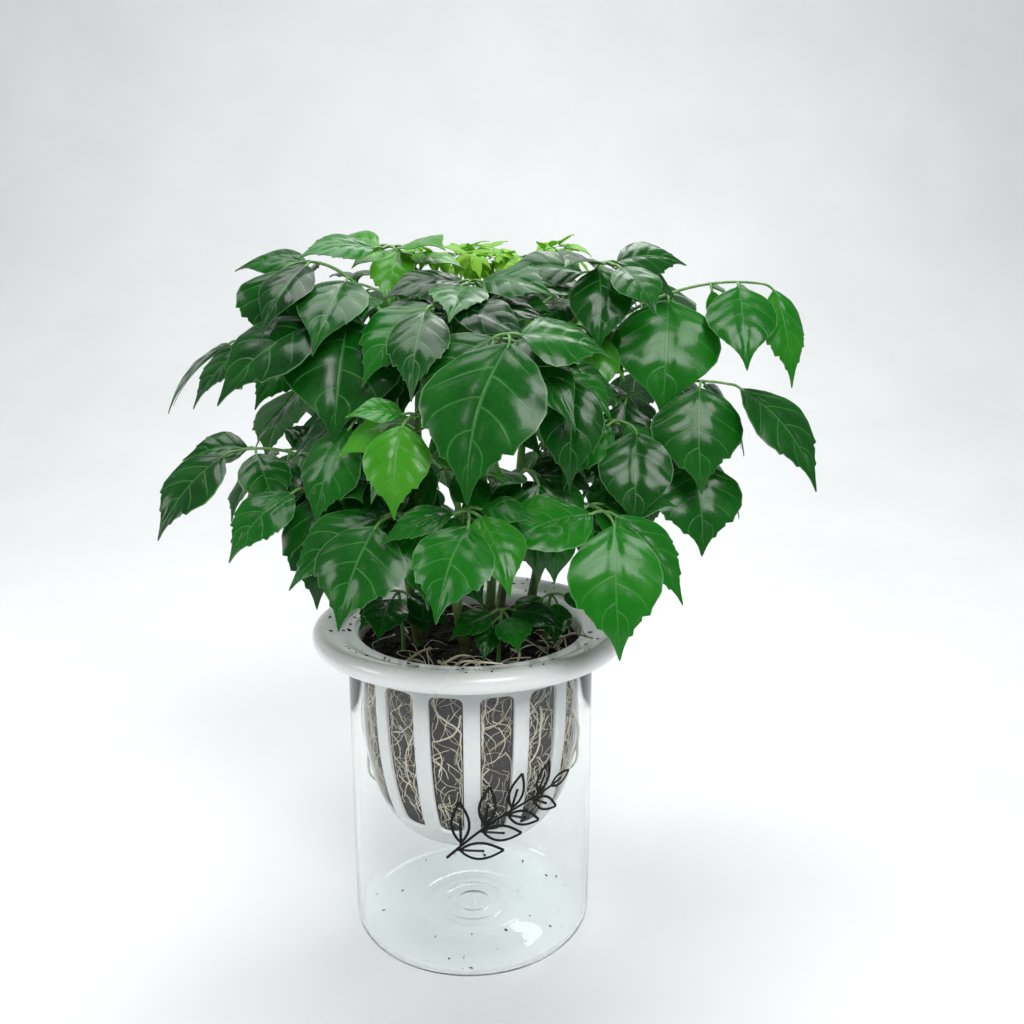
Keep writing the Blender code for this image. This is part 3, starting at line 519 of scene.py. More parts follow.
# The root ball: near-black potting soil, packed into the basket by hand and held together by the
# plant's own roots. Its top is loose and lumpy, and its side shows in the slots.

SOIL_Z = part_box("root_ball")[1].z
chance = random.Random(7)


def ball_radius(z):
    """The inside of the basket's wall at this height, with the gap kept to it."""
    slope = (bowl_radius(z - MM) - bowl_radius(z + MM)) / (2 * MM)
    return bowl_radius(z) - (BASKET_WALL + GAP) * math.sqrt(1 + slope ** 2)


neck_radius = BOWL_RADIUS - BASKET_WALL - GAP
ball_low = VASE_HEIGHT - NECK - BASKET_DEPTH + BASKET_WALL + GAP
ball_rows = [SOIL_Z - 2 * MM - (SOIL_Z - 2 * MM - ball_low) * i / 34 for i in range(33)]
profile = [(neck_radius * i / 16, SOIL_Z) for i in range(16)] + [(neck_radius, SOIL_Z - 0.6 * MM)]
profile += [(max(min(ball_radius(z), neck_radius), 0.5 * MM), z) for z in ball_rows]
profile += [(8 * MM, ball_low + 0.4 * MM), (0, ball_low)]
ball = turn("soil_ball", profile)
clods = [Vector((chance.uniform(-1, 1), chance.uniform(-1, 1), chance.uniform(-1, 1))) for _ in range(3)]


def lumps(point, size):
    """A smooth height between -1 and 1 that rises and falls over this distance."""
    total = 0.0
    for i, shift in enumerate(clods):
        scaled = point / size * (1 + 0.7 * i) + shift * 9
        total += math.sin(scaled.x * 2.1 + 1.3 * math.sin(scaled.y)) * math.sin(scaled.y * 1.7 + scaled.z)
    return total / len(clods)


for point in ball.data.vertices:
    radius = math.hypot(point.co.x, point.co.y)
    if point.co.z > SOIL_Z - 0.1 * MM:
        point.co.z += (0.5 * lumps(point.co, 5 * MM) + 0.4 * lumps(point.co, 2 * MM) - 0.35) * MM
    elif radius > 5 * MM:
        hollow = (0.55 + 0.45 * lumps(point.co, 3 * MM)) * MM
        point.co.x *= 1 - hollow / radius
        point.co.y *= 1 - hollow / radius
soil, tree, shader = new_finish("potting_soil", Roughness=0.92, Specular_IOR_Level=0.25)
place = wire(tree, "ShaderNodeTexCoord").outputs["Object"]
crumb = wire(tree, "ShaderNodeTexVoronoi", {"Vector": place, "Scale": 620.0, "Randomness": 1.0})
fibre = noise(tree, 260.0, 8.0, Roughness=0.7)
clod_bump = bumped(tree, crumb.outputs["Distance"], 0.9, MM)
feed(tree, shader, Normal=bumped(tree, fibre, 0.7, 0.6 * MM, clod_bump),
     Base_Color=ramp(tree, fibre, (0.35, (0.004, 0.0035, 0.003)), (0.58, (0.014, 0.011, 0.008)),
                     (0.78, (0.055, 0.042, 0.028))))
finish_piece(ball, soil, smooth=60, replaces=["root_ball"])


# The fine roots: cream threads that the plant has pushed out against the basket. They wander down
# in the slots, cross over each other, and some hang into the space beside the basket.

ROOTS_TO_A_SLOT = 34
MAIN_ROOTS = 2
MIDDLE_ROOTS = 7
ROOT_SIZES = (0.42, 0.25, 0.14)  # radii in millimetres of the main, middle and fine roots
ROOT_POINTS = 17
root_routes = []
for slot in range(SLOT_COUNT):
    middle = math.radians(-90) + PITCH * (slot + 0.5)
    for i in range(ROOTS_TO_A_SLOT):
        is_main = i < MAIN_ROOTS
        thick = ROOT_SIZES[0 if is_main else (1 if i < MAIN_ROOTS + MIDDLE_ROOTS else 2)]
        thick *= chance.uniform(0.75, 1.25) * MM
        z = slot_top + 7 * MM - (SLOT_HEIGHT - 2 * MM) * chance.random() * (0.3 if is_main else 1)
        length = chance.uniform(36, 66) if is_main else chance.uniform(14, 38)
        step = length * MM / ROOT_POINTS
        across = chance.uniform(-1, 1)
        swing = chance.uniform(-1.2, 1.2) * (0.4 if is_main else 1)
        bend = chance.uniform(-0.30, 0.30)
        reach = chance.uniform(0.1, 0.5) if chance.random() < 0.8 else chance.uniform(1.2, 2.6)
        route = []
        for k in range(ROOT_POINTS):
            surface = min(ball_radius(z), neck_radius)
            half_slot = PITCH / 2 - RIB_WIDTH / 2 / bowl_radius(z) - 0.01
            out = reach * math.sin(math.pi * min(k / ROOT_POINTS * 1.2, 1)) + chance.uniform(-0.08, 0.08)
            if z > slot_top - MM:
                out = 0
            radius = min(surface + out * MM, inner - thick - 0.1 * MM)
            route.append(Vector(polar(radius, middle + half_slot * across, z)))
            swing += bend + chance.uniform(-0.35, 0.35)
            across += math.sin(swing) * step / (half_slot * surface)
            if abs(across) > 0.97:
                across, swing = math.copysign(0.97, across), -swing * 0.6
            z -= abs(math.cos(swing)) * step * 0.9 + 0.1 * step
            if z < slot_bottom + MM:
                break
        if len(route) > 3:
            root_routes.append((route, [thick * (1 - 0.6 * k / len(route)) for k in range(len(route))]))
fine_roots = draw_tubes("fine_roots", root_routes, 0)
root_skin, tree, shader = new_finish("root_skin", Roughness=0.6)
patch = noise(tree, 95.0, 4.0)
feed(tree, shader, Normal=bumped(tree, patch, 0.3, 0.3 * MM),
     Base_Color=ramp(tree, patch, (0.28, (0.34, 0.26, 0.16)), (0.44, (0.70, 0.62, 0.46)),
                     (0.66, (0.88, 0.84, 0.70))))
finish_piece(fine_roots, root_skin, smooth=80)


# The bare roots: thicker cream roots with side rootlets. Some lie on the soil and over the collar,
# and a few have grown out through a slot and hang between the basket and the vase.

ROOT_RADIUS = 0.7 * MM
ROOT_END = 0.5
ROOT_SWING = 2.5 * MM
ROOTLETS = 5
ROOTLET_LENGTH = 9 * MM
SURFACE_ROOTS = {  # points of x, y and height over the soil, in millimetres
    "surface_root_front": ((-14, -33, 1.2), (-8, -43, 2.4), (-3, -49, 7.4), (4, -55, 9.4), (13, -59, 10)),
    "surface_root_middle": ((18, -20, 1.2), (21, -30, 3.2), (19, -38, 1.6), (12, -43, 1.6)),
    "surface_root_right": ((34, -6, 1.2), (42, -11, 3.6), (46, -19, 8), (50, -28, 10), (53, -31, 10)),
    "surface_root_left": ((-18, -17, 1.2), (-22, -27, 3.4), (-29, -35, 1.6), (-31, -38, 1.6)),
    "surface_root_back": ((34, 12, 1.2), (41, 20, 3), (36, 31, 2.6), (25, 36, 1.6)),
}
SLOT_ROOTS = {  # slot, drop below the rim, length, sway in degrees
    "slot_root_right": (2, 30, 34, 7),
    "slot_root_right_low": (3, 52, 24, -8),
    "slot_root_left": (11, 58, 22, 8),
}
TANGLE_REACH = 46.0
TANGLE_POINTS = 14
TANGLE_SIZES = (0.25, 0.4, 0.6)
TANGLES = (  # middle, how many roots, how far they are spread
    ((12, -37), 10, 11), ((39, -19), 11, 8), ((-20, -35), 6, 9), ((0, 30), 8, 26), ((-36, 4), 4, 14),
)


def above_soil(point):
    x, y, height = point
    return Vector((x * MM, y * MM, SOIL_Z + height * MM))


def rootlets(route, radius, count, length):
    """Side rootlets that leave a root and taper to nothing."""
    found = []
    for _ in range(count):
        at = route[chance.randrange(1, len(route) - 1)]
        way = Vector((chance.uniform(-1, 1), chance.uniform(-1, 1), chance.uniform(-0.1, 0.5)))
        way.normalize()
        bend = Vector((chance.uniform(-1, 1), chance.uniform(-1, 1), -0.4)) * 0.5
        reach = length * chance.uniform(0.5, 1.0)
        points = [at + (way * s + bend * s * s) * reach for s in (0, 0.33, 0.66, 1.0)]
        found.append((smooth_route(points, 3), [radius * 0.45 * (1 - 0.08 * k) for k in range(10)]))
    return found


def make_root(name, route, rootlet_count):
    """A root that thins to its end, with its rootlets."""
    size = [ROOT_RADIUS * (1 + (ROOT_END - 1) * i / (len(route) - 1)) for i in range(len(route))]
    size = [each * (1 + 0.12 * math.sin(2.7 * i)) for i, each in enumerate(size)]
    tubes = [(route, size)] + rootlets(route, ROOT_RADIUS, rootlet_count, ROOTLET_LENGTH)
    root = draw_tubes("grown_" + name, tubes, 1)
    finish_piece(root, root_skin, smooth=80, replaces=[name])


def tangle_root(start, thick, length):
    """A root that wanders over the soil, dips into it at its ends, and is lifted in between."""
    x, y = start
    turned = chance.uniform(0, 2 * math.pi)
    bend = chance.uniform(-0.25, 0.25)
    rise = chance.uniform(1.0, 7.0)
    points = []
    last = TANGLE_POINTS - 1
    for k in range(TANGLE_POINTS):
        share = k / last
        reach = math.hypot(x, y)
        if reach > TANGLE_REACH:
            x, y = x * TANGLE_REACH / reach, y * TANGLE_REACH / reach
            turned += 1.2
        points.append(above_soil((x, y, rise * math.sin(math.pi * share) ** 0.8 - 0.3)))
        x += length / last * math.cos(turned)
        y += length / last * math.sin(turned)
        turned += bend + chance.uniform(-0.4, 0.4)
    return smooth_route(points, 2), [thick * (1 - 0.25 * k / last) for k in range(2 * last + 1)]


tangle = []
for (x, y), count, apart in TANGLES:
    for _ in range(count):
        start = x + chance.uniform(-apart, apart), y + chance.uniform(-apart, apart) * 0.6
        tangle.append(tangle_root(start, chance.choice(TANGLE_SIZES) * MM, chance.uniform(12, 28)))
finish_piece(draw_tubes("root_tangle", tangle, 0), root_skin, smooth=80)

for name, points in SURFACE_ROOTS.items():
    make_root(name, smooth_route([above_soil(point) for point in points], 8), ROOTLETS)
for name, (slot, drop, length, sway) in SLOT_ROOTS.items():
    route = []
    for i in range(19):
        share = i / 18
        z = VASE_HEIGHT - (drop + length * share) * MM
        radius = ball_radius(z) + 2 * GAP + ROOT_RADIUS + ROOT_SWING * math.sin(math.pi * share)
        radius = min(radius, inner - ROOT_RADIUS - 0.2 * MM)
        turned = math.radians(-90) + PITCH * (slot + 0.5)
        turned += math.radians(sway) * math.sin(math.pi * share * 1.5) / 2
        route.append(Vector(polar(radius, turned, z)))
    make_root(name, route, 0)


# The loose crumbs: bits of soil that lie on the root ball, and a few that were spilt on the collar
# and through the slots onto the floor of the vase.

SOIL_CRUMBS = 420
COLLAR_CRUMBS = 95
FALLEN_CRUMBS = 46


def collar_height(radius):
    """The collar's upper face at this distance from the axis."""
    run = roll_centre[0] - seat_outer[0]
    share = min(max((radius - seat_outer[0]) / run, 0), 1)
    return SEAT_Z + BASKET_WALL + COLLAR_RISE * math.sin(math.pi / 2 * share)


def join(pieces, name):
    begin(*pieces)
    bpy.ops.object.join()
    joined = bpy.context.object
    joined.name = name
    return joined


begin()
bpy.ops.mesh.primitive_ico_sphere_add(subdivisions=1, radius=1.0)
crumb_form = bpy.context.object
edit()
pick(crumb_form, lambda point: point.z > 0.3)
bpy.ops.transform.resize(value=(0.7, 0.8, 0.6), center_override=(0.2, 0, 0.4))
edit(False)
crumb_shape = np.array([point.co for point in crumb_form.data.vertices])


def scatter(name, spots):
    """One piece of many crumbs, from rows of (place, size), each turned and squashed by chance."""
    made = []
    for spot, size in spots:
        crumb = crumb_form.copy()
        crumb.data = crumb_form.data.copy()
        bpy.context.scene.collection.objects.link(crumb)
        turned = chance.uniform(0, 2 * math.pi)
        spin = np.array([[math.cos(turned), -math.sin(turned), 0],
                         [math.sin(turned), math.cos(turned), 0], [0, 0, 1]])
        stretch = np.array([chance.uniform(0.7, 2.3), chance.uniform(0.5, 1.0), chance.uniform(0.4, 0.8)])
        points = (crumb_shape * stretch) @ spin.T * size + np.array(spot)
        crumb.data.vertices.foreach_set("co", points.astype(np.float32).ravel())
        made.append(crumb)
    finish_piece(join(made, name), soil, smooth=25)


loose = []
for _ in range(SOIL_CRUMBS):
    radius = (BOWL_RADIUS - BASKET_WALL - 2.5 * MM) * math.sqrt(chance.random())
    size = chance.uniform(0.5, 1.9) * MM
    loose.append((polar(radius, chance.uniform(0, 2 * math.pi), SOIL_Z + size * 0.15), size))
scatter("soil_crumbs", loose)
spilt = []
for _ in range(COLLAR_CRUMBS):
    radius = chance.uniform(seat_outer[0] - 3 * MM, roll_centre[0])
    size = chance.uniform(0.2, 0.8) * MM
    level = collar_height(radius)
    spilt.append((polar(radius, chance.uniform(0, 2 * math.pi), level + size * 0.2), size))
scatter("collar_crumbs", spilt)
fallen = []
for _ in range(FALLEN_CRUMBS):
    radius = inner * 0.93 * chance.random() ** 0.3
    size = (0.2 + 0.9 * chance.random() ** 3) * MM
    level = floor_top if radius < FLOOR_RING - FLOOR_STEP else VASE_FLOOR
    level += max(radius - (inner - inner_round), 0) ** 2 / inner_round / 2
    fallen.append((polar(radius, chance.uniform(0, 2 * math.pi), level + size * 0.3), size))
scatter("fallen_crumbs", fallen)
bpy.data.objects.remove(crumb_form, do_unlink=True)


# The stems: six green shoots that grew out of the soil as one clump. They are round, a little
# woody and brown at the foot, and swell slightly where each leaf leaves them.

STEM_RADIUS = 2.3 * MM
STEM_TAPER = 0.45
STEM_STEPS = 8
STEMS = {  # points of x, y and height over the soil, in millimetres
    "stem_middle": ((8, -4, 0), (10, -6, 45), (5, -3, 90), (9, -5, 128), (12, -6, 160)),
    "stem_left": ((-24, -10, 0), (-28, -14, 40), (-33, -17, 85), (-30, -15, 125), (-32, -14, 152)),
    "stem_right": ((26, 6, 0), (33, 4, 45), (38, 8, 90), (44, 6, 130), (48, 4, 156)),
    "stem_back_left": ((-14, 22, 0), (-20, 28, 45), (-24, 34, 90), (-22, 36, 130), (-20, 38, 160)),
    "stem_back_right": ((14, 26, 0), (20, 34, 40), (26, 40, 85), (28, 44, 130), (30, 46, 154)),
    "stem_front": ((-2, -26, 0), (-6, -34, 30), (-4, -40, 60), (-6, -44, 84)),
}


def stem_route(name, steps):
    """The stem's curve, with an upright foot."""
    points = [above_soil(point) for point in STEMS[name]]
    foot = points[0] + Vector((0, 0, GAP))
    points[0].z += STEM_RADIUS
    return [foot] + smooth_route(points, steps)


bark, tree, shader = new_finish("stem_bark", Roughness=0.42)
place = wire(tree, "ShaderNodeTexCoord").outputs["Object"]
height = wire(tree, "ShaderNodeSeparateXYZ", {"Vector": place}).outputs["Z"]
mottle = noise(tree, 240.0, 5.0)
woody = spread(tree, height, SOIL_Z + 5 * MM, SOIL_Z + 55 * MM, 0.0, 0.6)
mixed = wire(tree, "ShaderNodeMath", {0: woody, 1: mottle}, operation="ADD").outputs["Value"]
feed(tree, shader, Normal=bumped(tree, mottle, 0.35, 0.4 * MM),
     Base_Color=ramp(tree, mixed, (0.35, (0.10, 0.075, 0.035)), (0.6, (0.09, 0.16, 0.035)),
                     (1.0, (0.12, 0.30, 0.05))))
for name in STEMS:
    route = stem_route(name, STEM_STEPS)
    size = []
    for i in range(len(route)):
        joint = 1 + 0.12 * math.cos(2 * math.pi * i / STEM_STEPS) ** 8
        size.append(STEM_RADIUS * (1 + (STEM_TAPER - 1) * i / (len(route) - 1)) * joint)
    grown = draw_tubes("grown_" + name, [(route, size)], 3)
    finish_piece(grown, bark, smooth=80, replaces=[name])


# The leaves: compound, each one grown piece, with a long main stalk, short side stalks and three to
# five leaflets. They hang from the stems and have turned their faces to the light. Small leaflets
# fill the crown near the foot of the stalks, and three seedlings stand in the soil.

# name, stem, height on it, end of the main stalk; leaflets: share of the stalk, azimuth, droop, length,
# width as a share of the length
LEAVES = (
    ("leaf_front_high", "stem_middle", 84, (15, -74, 142), (
        (1.0, 234, 64, 62, .72), (.92, 198, 34, 40, .72), (.92, 8, 14, 36, .78),
        (.66, 205, 42, 34, .6), (.66, 318, 44, 44, .5))),
    ("leaf_front_right_low", "stem_right", 49, (54, -68, 73), (
        (1.0, 272, 70, 52, .68), (.91, 205, 24, 44, .66), (.91, 328, 48, 44, .5),
        (.60, 200, 30, 40, .6), (.60, 346, 40, 40, .6))),
    ("leaf_right_middle", "stem_right", 91, (110, -22, 119), (
        (1.0, 326, 50, 54, .5), (.84, 268, 72, 46, .84), (.84, 20, 56, 40, .6),
        (.42, 248, 66, 50, .68), (.42, 70, 30, 38, .6))),
    ("leaf_right_top", "stem_right", 131, (128, -2, 160), (
        (1.0, 300, 72, 44, .46), (.86, 270, 60, 40, .74), (.86, 38, 36, 40, .6),
        (.5, 256, 70, 54, .84), (.5, 72, 14, 42, .6))),
    ("leaf_top_right_near", "stem_right", 143, (60, -16, 168), (
        (1.0, 302, 40, 30, .7), (.84, 262, 66, 38, .66), (.84, 18, 2, 34, .6),
        (.5, 178, 2, 36, .6), (.5, 60, 8, 30, .6))),
    ("leaf_left_low", "stem_left", 59, (-96, -28, 93), (
        (1.0, 218, 46, 44, .6), (.88, 184, 10, 28, .66), (.88, 300, 44, 34, .6),
        (.66, 250, 44, 34, .66), (.66, 60, -14, 22, .8))),
    ("leaf_left_low_front", "stem_left", 47, (-66, -46, 81), (
        (1.0, 214, 54, 38, .6), (.86, 178, 14, 34, .56), (.86, 262, 72, 48, .62),
        (.55, 190, 24, 34, .6), (.55, 290, 50, 36, .6))),
    ("leaf_front_left_low", "stem_front", 41, (-32, -72, 74), (
        (1.0, 236, 56, 42, .86), (.84, 200, 26, 46, .6), (.84, 300, 60, 36, .66),
        (.5, 188, 34, 34, .6), (.5, 330, 30, 32, .6))),
    ("leaf_front_low", "stem_front", 55, (0, -88, 78), (
        (1.0, 238, 54, 38, .8), (.85, 190, 30, 30, .44), (.85, 298, 50, 34, .66))),
    ("leaf_young_left", "stem_front", 73, (-22, -70, 112), (
        (1.0, 258, 66, 36, .68), (.84, 186, 2, 22, .56), (.84, 20, 6, 16, .6),
        (.55, 215, 50, 34, .66), (.55, 300, 40, 28, .6))),
    ("leaf_upper_left", "stem_left", 121, (-54, -30, 147), (
        (1.0, 208, 36, 54, .62), (.80, 258, 72, 52, .9), (.80, 168, 20, 36, .5),
        (.4, 240, 60, 38, .6), (.4, 120, 14, 34, .6))),
    ("leaf_upper_front", "stem_middle", 127, (-14, -44, 152), (
        (1.0, 262, 76, 46, .5), (.82, 218, 50, 44, .66), (.82, 318, 40, 36, .6),
        (.5, 186, 16, 34, .6), (.5, 350, 6, 32, .62))),
    ("leaf_top_left", "stem_left", 145, (-72, -12, 168), (
        (1.0, 246, 66, 34, .9), (.80, 242, 66, 42, .5), (.80, 172, 6, 34, .5),
        (.40, 254, 70, 46, .6), (.40, 92, 4, 36, .56))),
    ("leaf_top_back_left", "stem_back_left", 155, (-36, 4, 175), (
        (1.0, 205, 8, 34, .56), (.82, 262, 56, 30, .62), (.82, 150, 4, 34, .6),
        (.5, 330, 14, 28, .6), (.5, 110, 4, 34, .6))),
    ("leaf_right_low_middle", "stem_right", 57, (92, -14, 87), (
        (1.0, 280, 66, 42, .92), (.84, 244, 58, 32, .5), (.84, 345, 46, 30, .4),
        (.52, 258, 50, 36, .6), (.52, 60, 30, 32, .6))),
    ("leaf_centre_inner", "stem_middle", 109, (38, -50, 127), (
        (1.0, 262, 74, 44, .56), (.8, 236, 60, 32, .6), (.8, 330, 40, 30, .6))),
    ("leaf_right_inner", "stem_back_right", 121, (76, 20, 143), (
        (1.0, 300, 50, 34, .7), (.82, 350, 40, 34, .6), (.82, 240, 40, 30, .6),
        (.5, 60, 20, 32, .6), (.5, 220, 20, 28, .6))),
    ("leaf_inner_left", "stem_left", 85, (-44, -46, 108), (
        (1.0, 230, 60, 42, .66), (.84, 186, 34, 36, .6), (.84, 290, 60, 36, .6),
        (.5, 200, 50, 32, .6), (.5, 320, 50, 32, .6))),
    ("leaf_inner_left_low", "stem_left", 62, (-30, -34, 84), (
        (1.0, 245, 56, 38, .66), (.84, 196, 40, 34, .6), (.84, 300, 50, 34, .6))),
    ("leaf_inner_centre_low", "stem_middle", 55, (26, -50, 86), (
        (1.0, 268, 62, 40, .7), (.84, 214, 44, 36, .6), (.84, 322, 44, 36, .6),
        (.5, 200, 50, 32, .6), (.5, 340, 50, 32, .6))),
    ("leaf_inner_right", "stem_right", 78, (66, -36, 104), (
        (1.0, 262, 66, 42, .7), (.84, 220, 50, 36, .6), (.84, 320, 50, 34, .6))),
    ("leaf_inner_high", "stem_back_right", 116, (50, -4, 142), (
        (1.0, 270, 60, 36, .66), (.84, 214, 34, 34, .6), (.84, 330, 40, 34, .6),
        (.5, 190, 30, 30, .6), (.5, 350, 30, 30, .6))),
    ("leaf_inner_top", "stem_middle", 148, (0, -18, 160), (
        (1.0, 262, 30, 36, .64), (.82, 200, 20, 34, .6), (.82, 330, 10, 34, .6),
        (.5, 180, 10, 28, .6), (.5, 0, 10, 28, .6))),
    ("leaf_inner_back_left", "stem_back_left", 118, (-48, 24, 138), (
        (1.0, 190, 50, 40, .64), (.84, 240, 50, 36, .6), (.84, 140, 40, 36, .6),
        (.5, 250, 50, 32, .6), (.5, 120, 40, 32, .6))),
    ("leaf_inner_back_low", "stem_back_left", 70, (-50, 10, 96), (
        (1.0, 210, 60, 42, .64), (.84, 256, 56, 36, .6), (.84, 160, 50, 36, .6))),
    ("leaf_inner_back_right", "stem_back_right", 70, (60, 40, 98), (
        (1.0, 320, 56, 40, .64), (.84, 270, 50, 36, .6), (.84, 10, 50, 36, .6))),
    ("leaf_back_top_right", "stem_back_right", 147, (82, 52, 162), (
        (1.0, 25, 38, 42, .6), (.84, 330, 40, 38, .6), (.84, 85, 40, 40, .6),
        (.52, 350, 20, 34, .6), (.52, 95, 30, 38, .6))),
    ("leaf_back_right", "stem_back_right", 95, (96, 60, 117), (
        (1.0, 30, 52, 50, .6), (.84, 340, 44, 42, .6), (.84, 88, 52, 44, .6),
        (.5, 350, 36, 36, .6), (.5, 100, 50, 40, .6))),
    ("leaf_back_top", "stem_back_right", 151, (24, 98, 159), (
        (1.0, 82, 44, 46, .64), (.84, 30, 38, 40, .6), (.84, 138, 38, 42, .6),
        (.5, 20, 24, 36, .6), (.5, 150, 30, 36, .6))),
    ("leaf_back_middle", "stem_back_right", 85, (40, 112, 105), (
        (1.0, 80, 58, 52, .62), (.84, 28, 50, 44, .6), (.84, 132, 50, 44, .6),
        (.5, 20, 40, 38, .6), (.5, 142, 44, 38, .6))),
    ("leaf_back_top_left", "stem_back_left", 141, (-66, 70, 159), (
        (1.0, 140, 44, 44, .62), (.84, 90, 40, 40, .6), (.84, 188, 38, 40, .6),
        (.5, 84, 30, 36, .6), (.5, 200, 28, 36, .6))),
    ("leaf_back_left", "stem_back_left", 91, (-84, 78, 109), (
        (1.0, 142, 56, 50, .62), (.84, 92, 50, 44, .6), (.84, 186, 46, 44, .6),
        (.5, 82, 44, 36, .6), (.5, 200, 40, 36, .6))),
    ("leaf_left_back_high", "stem_left", 109, (-104, 24, 135), (
        (1.0, 172, 46, 46, .6), (.84, 126, 40, 38, .6), (.84, 214, 44, 40, .5),
        (.5, 116, 30, 34, .6), (.5, 226, 40, 34, .6))),
    ("leaf_left_back_low", "stem_back_left", 49, (-92, 44, 81), (
        (1.0, 160, 56, 44, .62), (.84, 112, 48, 38, .6), (.84, 206, 44, 38, .6),
        (.5, 206, 30, 32, .6), (.5, 108, 40, 32, .6))),
    ("leaf_back_low", "stem_back_left", 45, (-26, 98, 71), (
        (1.0, 104, 60, 46, .62), (.84, 56, 50, 38, .6), (.84, 150, 50, 38, .6))),
    ("leaf_back_right_low", "stem_back_right", 43, (66, 74, 71), (
        (1.0, 48, 58, 46, .62), (.84, 4, 48, 38, .6), (.84, 92, 50, 38, .6))),
    ("leaf_right_back_low", "stem_right", 45, (104, 26, 85), (
        (1.0, 12, 56, 44, .62), (.84, 328, 46, 38, .6), (.84, 58, 46, 38, .6))),
)
YOUNG_SHOOTS = (
    ("young_shoot_middle", "stem_back_left", 158, (-2, 28, 172), (
        (1.0, 270, 10, 22, .52), (.90, 210, -8, 20, .5), (.90, 330, -4, 20, .5),
        (.72, 190, 12, 20, .5), (.72, 352, 6, 20, .5), (.54, 160, -10, 18, .5),
        (.54, 30, -6, 18, .5), (.36, 200, 20, 16, .5), (.36, 340, 20, 16, .5))),
    ("young_shoot_right", "stem_back_right", 152, (24, 22, 171), (
        (1.0, 262, 14, 20, .52), (.90, 204, -6, 20, .5), (.90, 326, -10, 22, .5),
        (.72, 184, 8, 18, .5), (.72, 346, 4, 22, .5), (.54, 150, -8, 18, .5),
        (.54, 24, -6, 18, .5), (.36, 196, 20, 16, .5), (.36, 336, 20, 16, .5))),
)
SEEDLINGS = (
    ("seedling_left", (-30, -15), (-32, -20, 28), (
        (1.0, 258, 50, 26, .72), (.85, 190, 20, 22, .6), (.85, 330, 30, 24, .6),
        (.5, 230, 40, 20, .6), (.5, 300, 30, 20, .6))),
    ("seedling_front", (12, -31), (14, -35, 24), (
        (1.0, 280, 40, 22, .66), (.85, 205, 24, 22, .6), (.85, 345, 20, 22, .6), (.5, 250, 40, 18, .6))),
    ("seedling_right", (34, -10), (37, -15, 24), (
        (1.0, 268, 56, 20, .7), (.85, 205, 30, 20, .6), (.85, 335, 20, 16, .6), (.5, 240, 40, 18, .6))),
)
BLADE_ROWS = ((.14, .68), (.40, 1.0), (.74, .52))  # place along the blade, width there
BLADE_ARCH = math.radians(22)
INNER_LEAFLETS = (  # share of the stalk, angle from it, length
    (0.72, 62, 32), (0.72, -62, 32), (0.36, 66, 30), (0.36, -66, 30), (0.2, 70, 26), (0.2, -70, 26),
)
INNER_DROOP = 44
INNER_WIDTH = 0.6
LIGHT = Vector((0, -1, 0))
LIGHT_DEPTH = 40.0 * MM
FACING = (0.6, 0.6, 0.7)  # how far a blade faces its own way, the light and the sky
STALK_WIDTH = 2.0 * MM
STALK_CROWN = 6.0 * MM
BOWS, LIFTS, TURNINGS = (24, 4), (12, 6), (40, 8)  # how far a stalk or a blade gives way, in steps
BLADE_SIZES = (1.0, 0.85, 0.7, 0.55)
LEAF_THICKNESS = 0.7 * MM
SIDE_STALK = 4.5 * MM
SIDE_STALK_WIDTH = 1.6 * MM
CLEARANCE = 1.1 * MM
COLLAR_TOP = SEAT_Z + COLLAR_RISE + BASKET_WALL
UP = Vector((0, 0, 1))


def heading(azimuth, droop):
    a, d = math.radians(azimuth), math.radians(droop)
    return Vector((math.cos(d) * math.cos(a), math.cos(d) * math.sin(a), -math.sin(d)))


class Blade:
    """A leaflet's blade: an arched midrib, and the way its face turns."""

    def __init__(self, base, azimuth, droop, length, width):
        self.base, self.length, self.half = base, length, width * length / 2
        self.azimuth, self.droop = azimuth, droop
        along = heading(azimuth, droop)
        towards_light = min(max(1 - base.y / LIGHT_DEPTH, 0), 1)
        own, light, sky = FACING
        facing = own * heading(azimuth, 0) + light * towards_light * LIGHT + Vector((0, 0, sky))
        self.normal = (facing - along * facing.dot(along)).normalized()
        self.side = along.cross(self.normal)

    def midrib(self, share):
        start = math.radians(self.droop) - BLADE_ARCH
        end = start + 2 * BLADE_ARCH * share
        out = (math.sin(end) - math.sin(start)) / (2 * BLADE_ARCH)
        down = (math.cos(start) - math.cos(end)) / (2 * BLADE_ARCH)
        return self.base + (heading(self.azimuth, 0) * out - UP * down) * self.length

    def surfaces(self, grow=0.0):
        """Points and triangles of the plain blade, or of a slab round it."""
        foot = self.side * SIDE_STALK_WIDTH / 2
        rows = [(self.base + foot, self.base - foot)]
        for share, width in BLADE_ROWS:
            middle = self.midrib(share)
            reach = self.side * (self.half * width + grow)
            rows.append((middle + reach, middle - reach))
        tip = self.midrib(1 + grow / self.length)
        points, faces = [], []
        for lift in (-grow, grow) if grow else (0.0,):
            first = len(points)
            for left, right in rows:
                points += [left + self.normal * lift, right + self.normal * lift]
            points.append(tip + self.normal * lift)
            for i in range(len(rows) - 1):
                a = first + 2 * i
                faces += [(a, a + 1, a + 3), (a, a + 3, a + 2)]
            faces.append((len(points) - 3, len(points) - 2, len(points) - 1))
        return points, faces

    def tree(self, grow=0.0):
        return BVHTree.FromPolygons(*self.surfaces(grow))


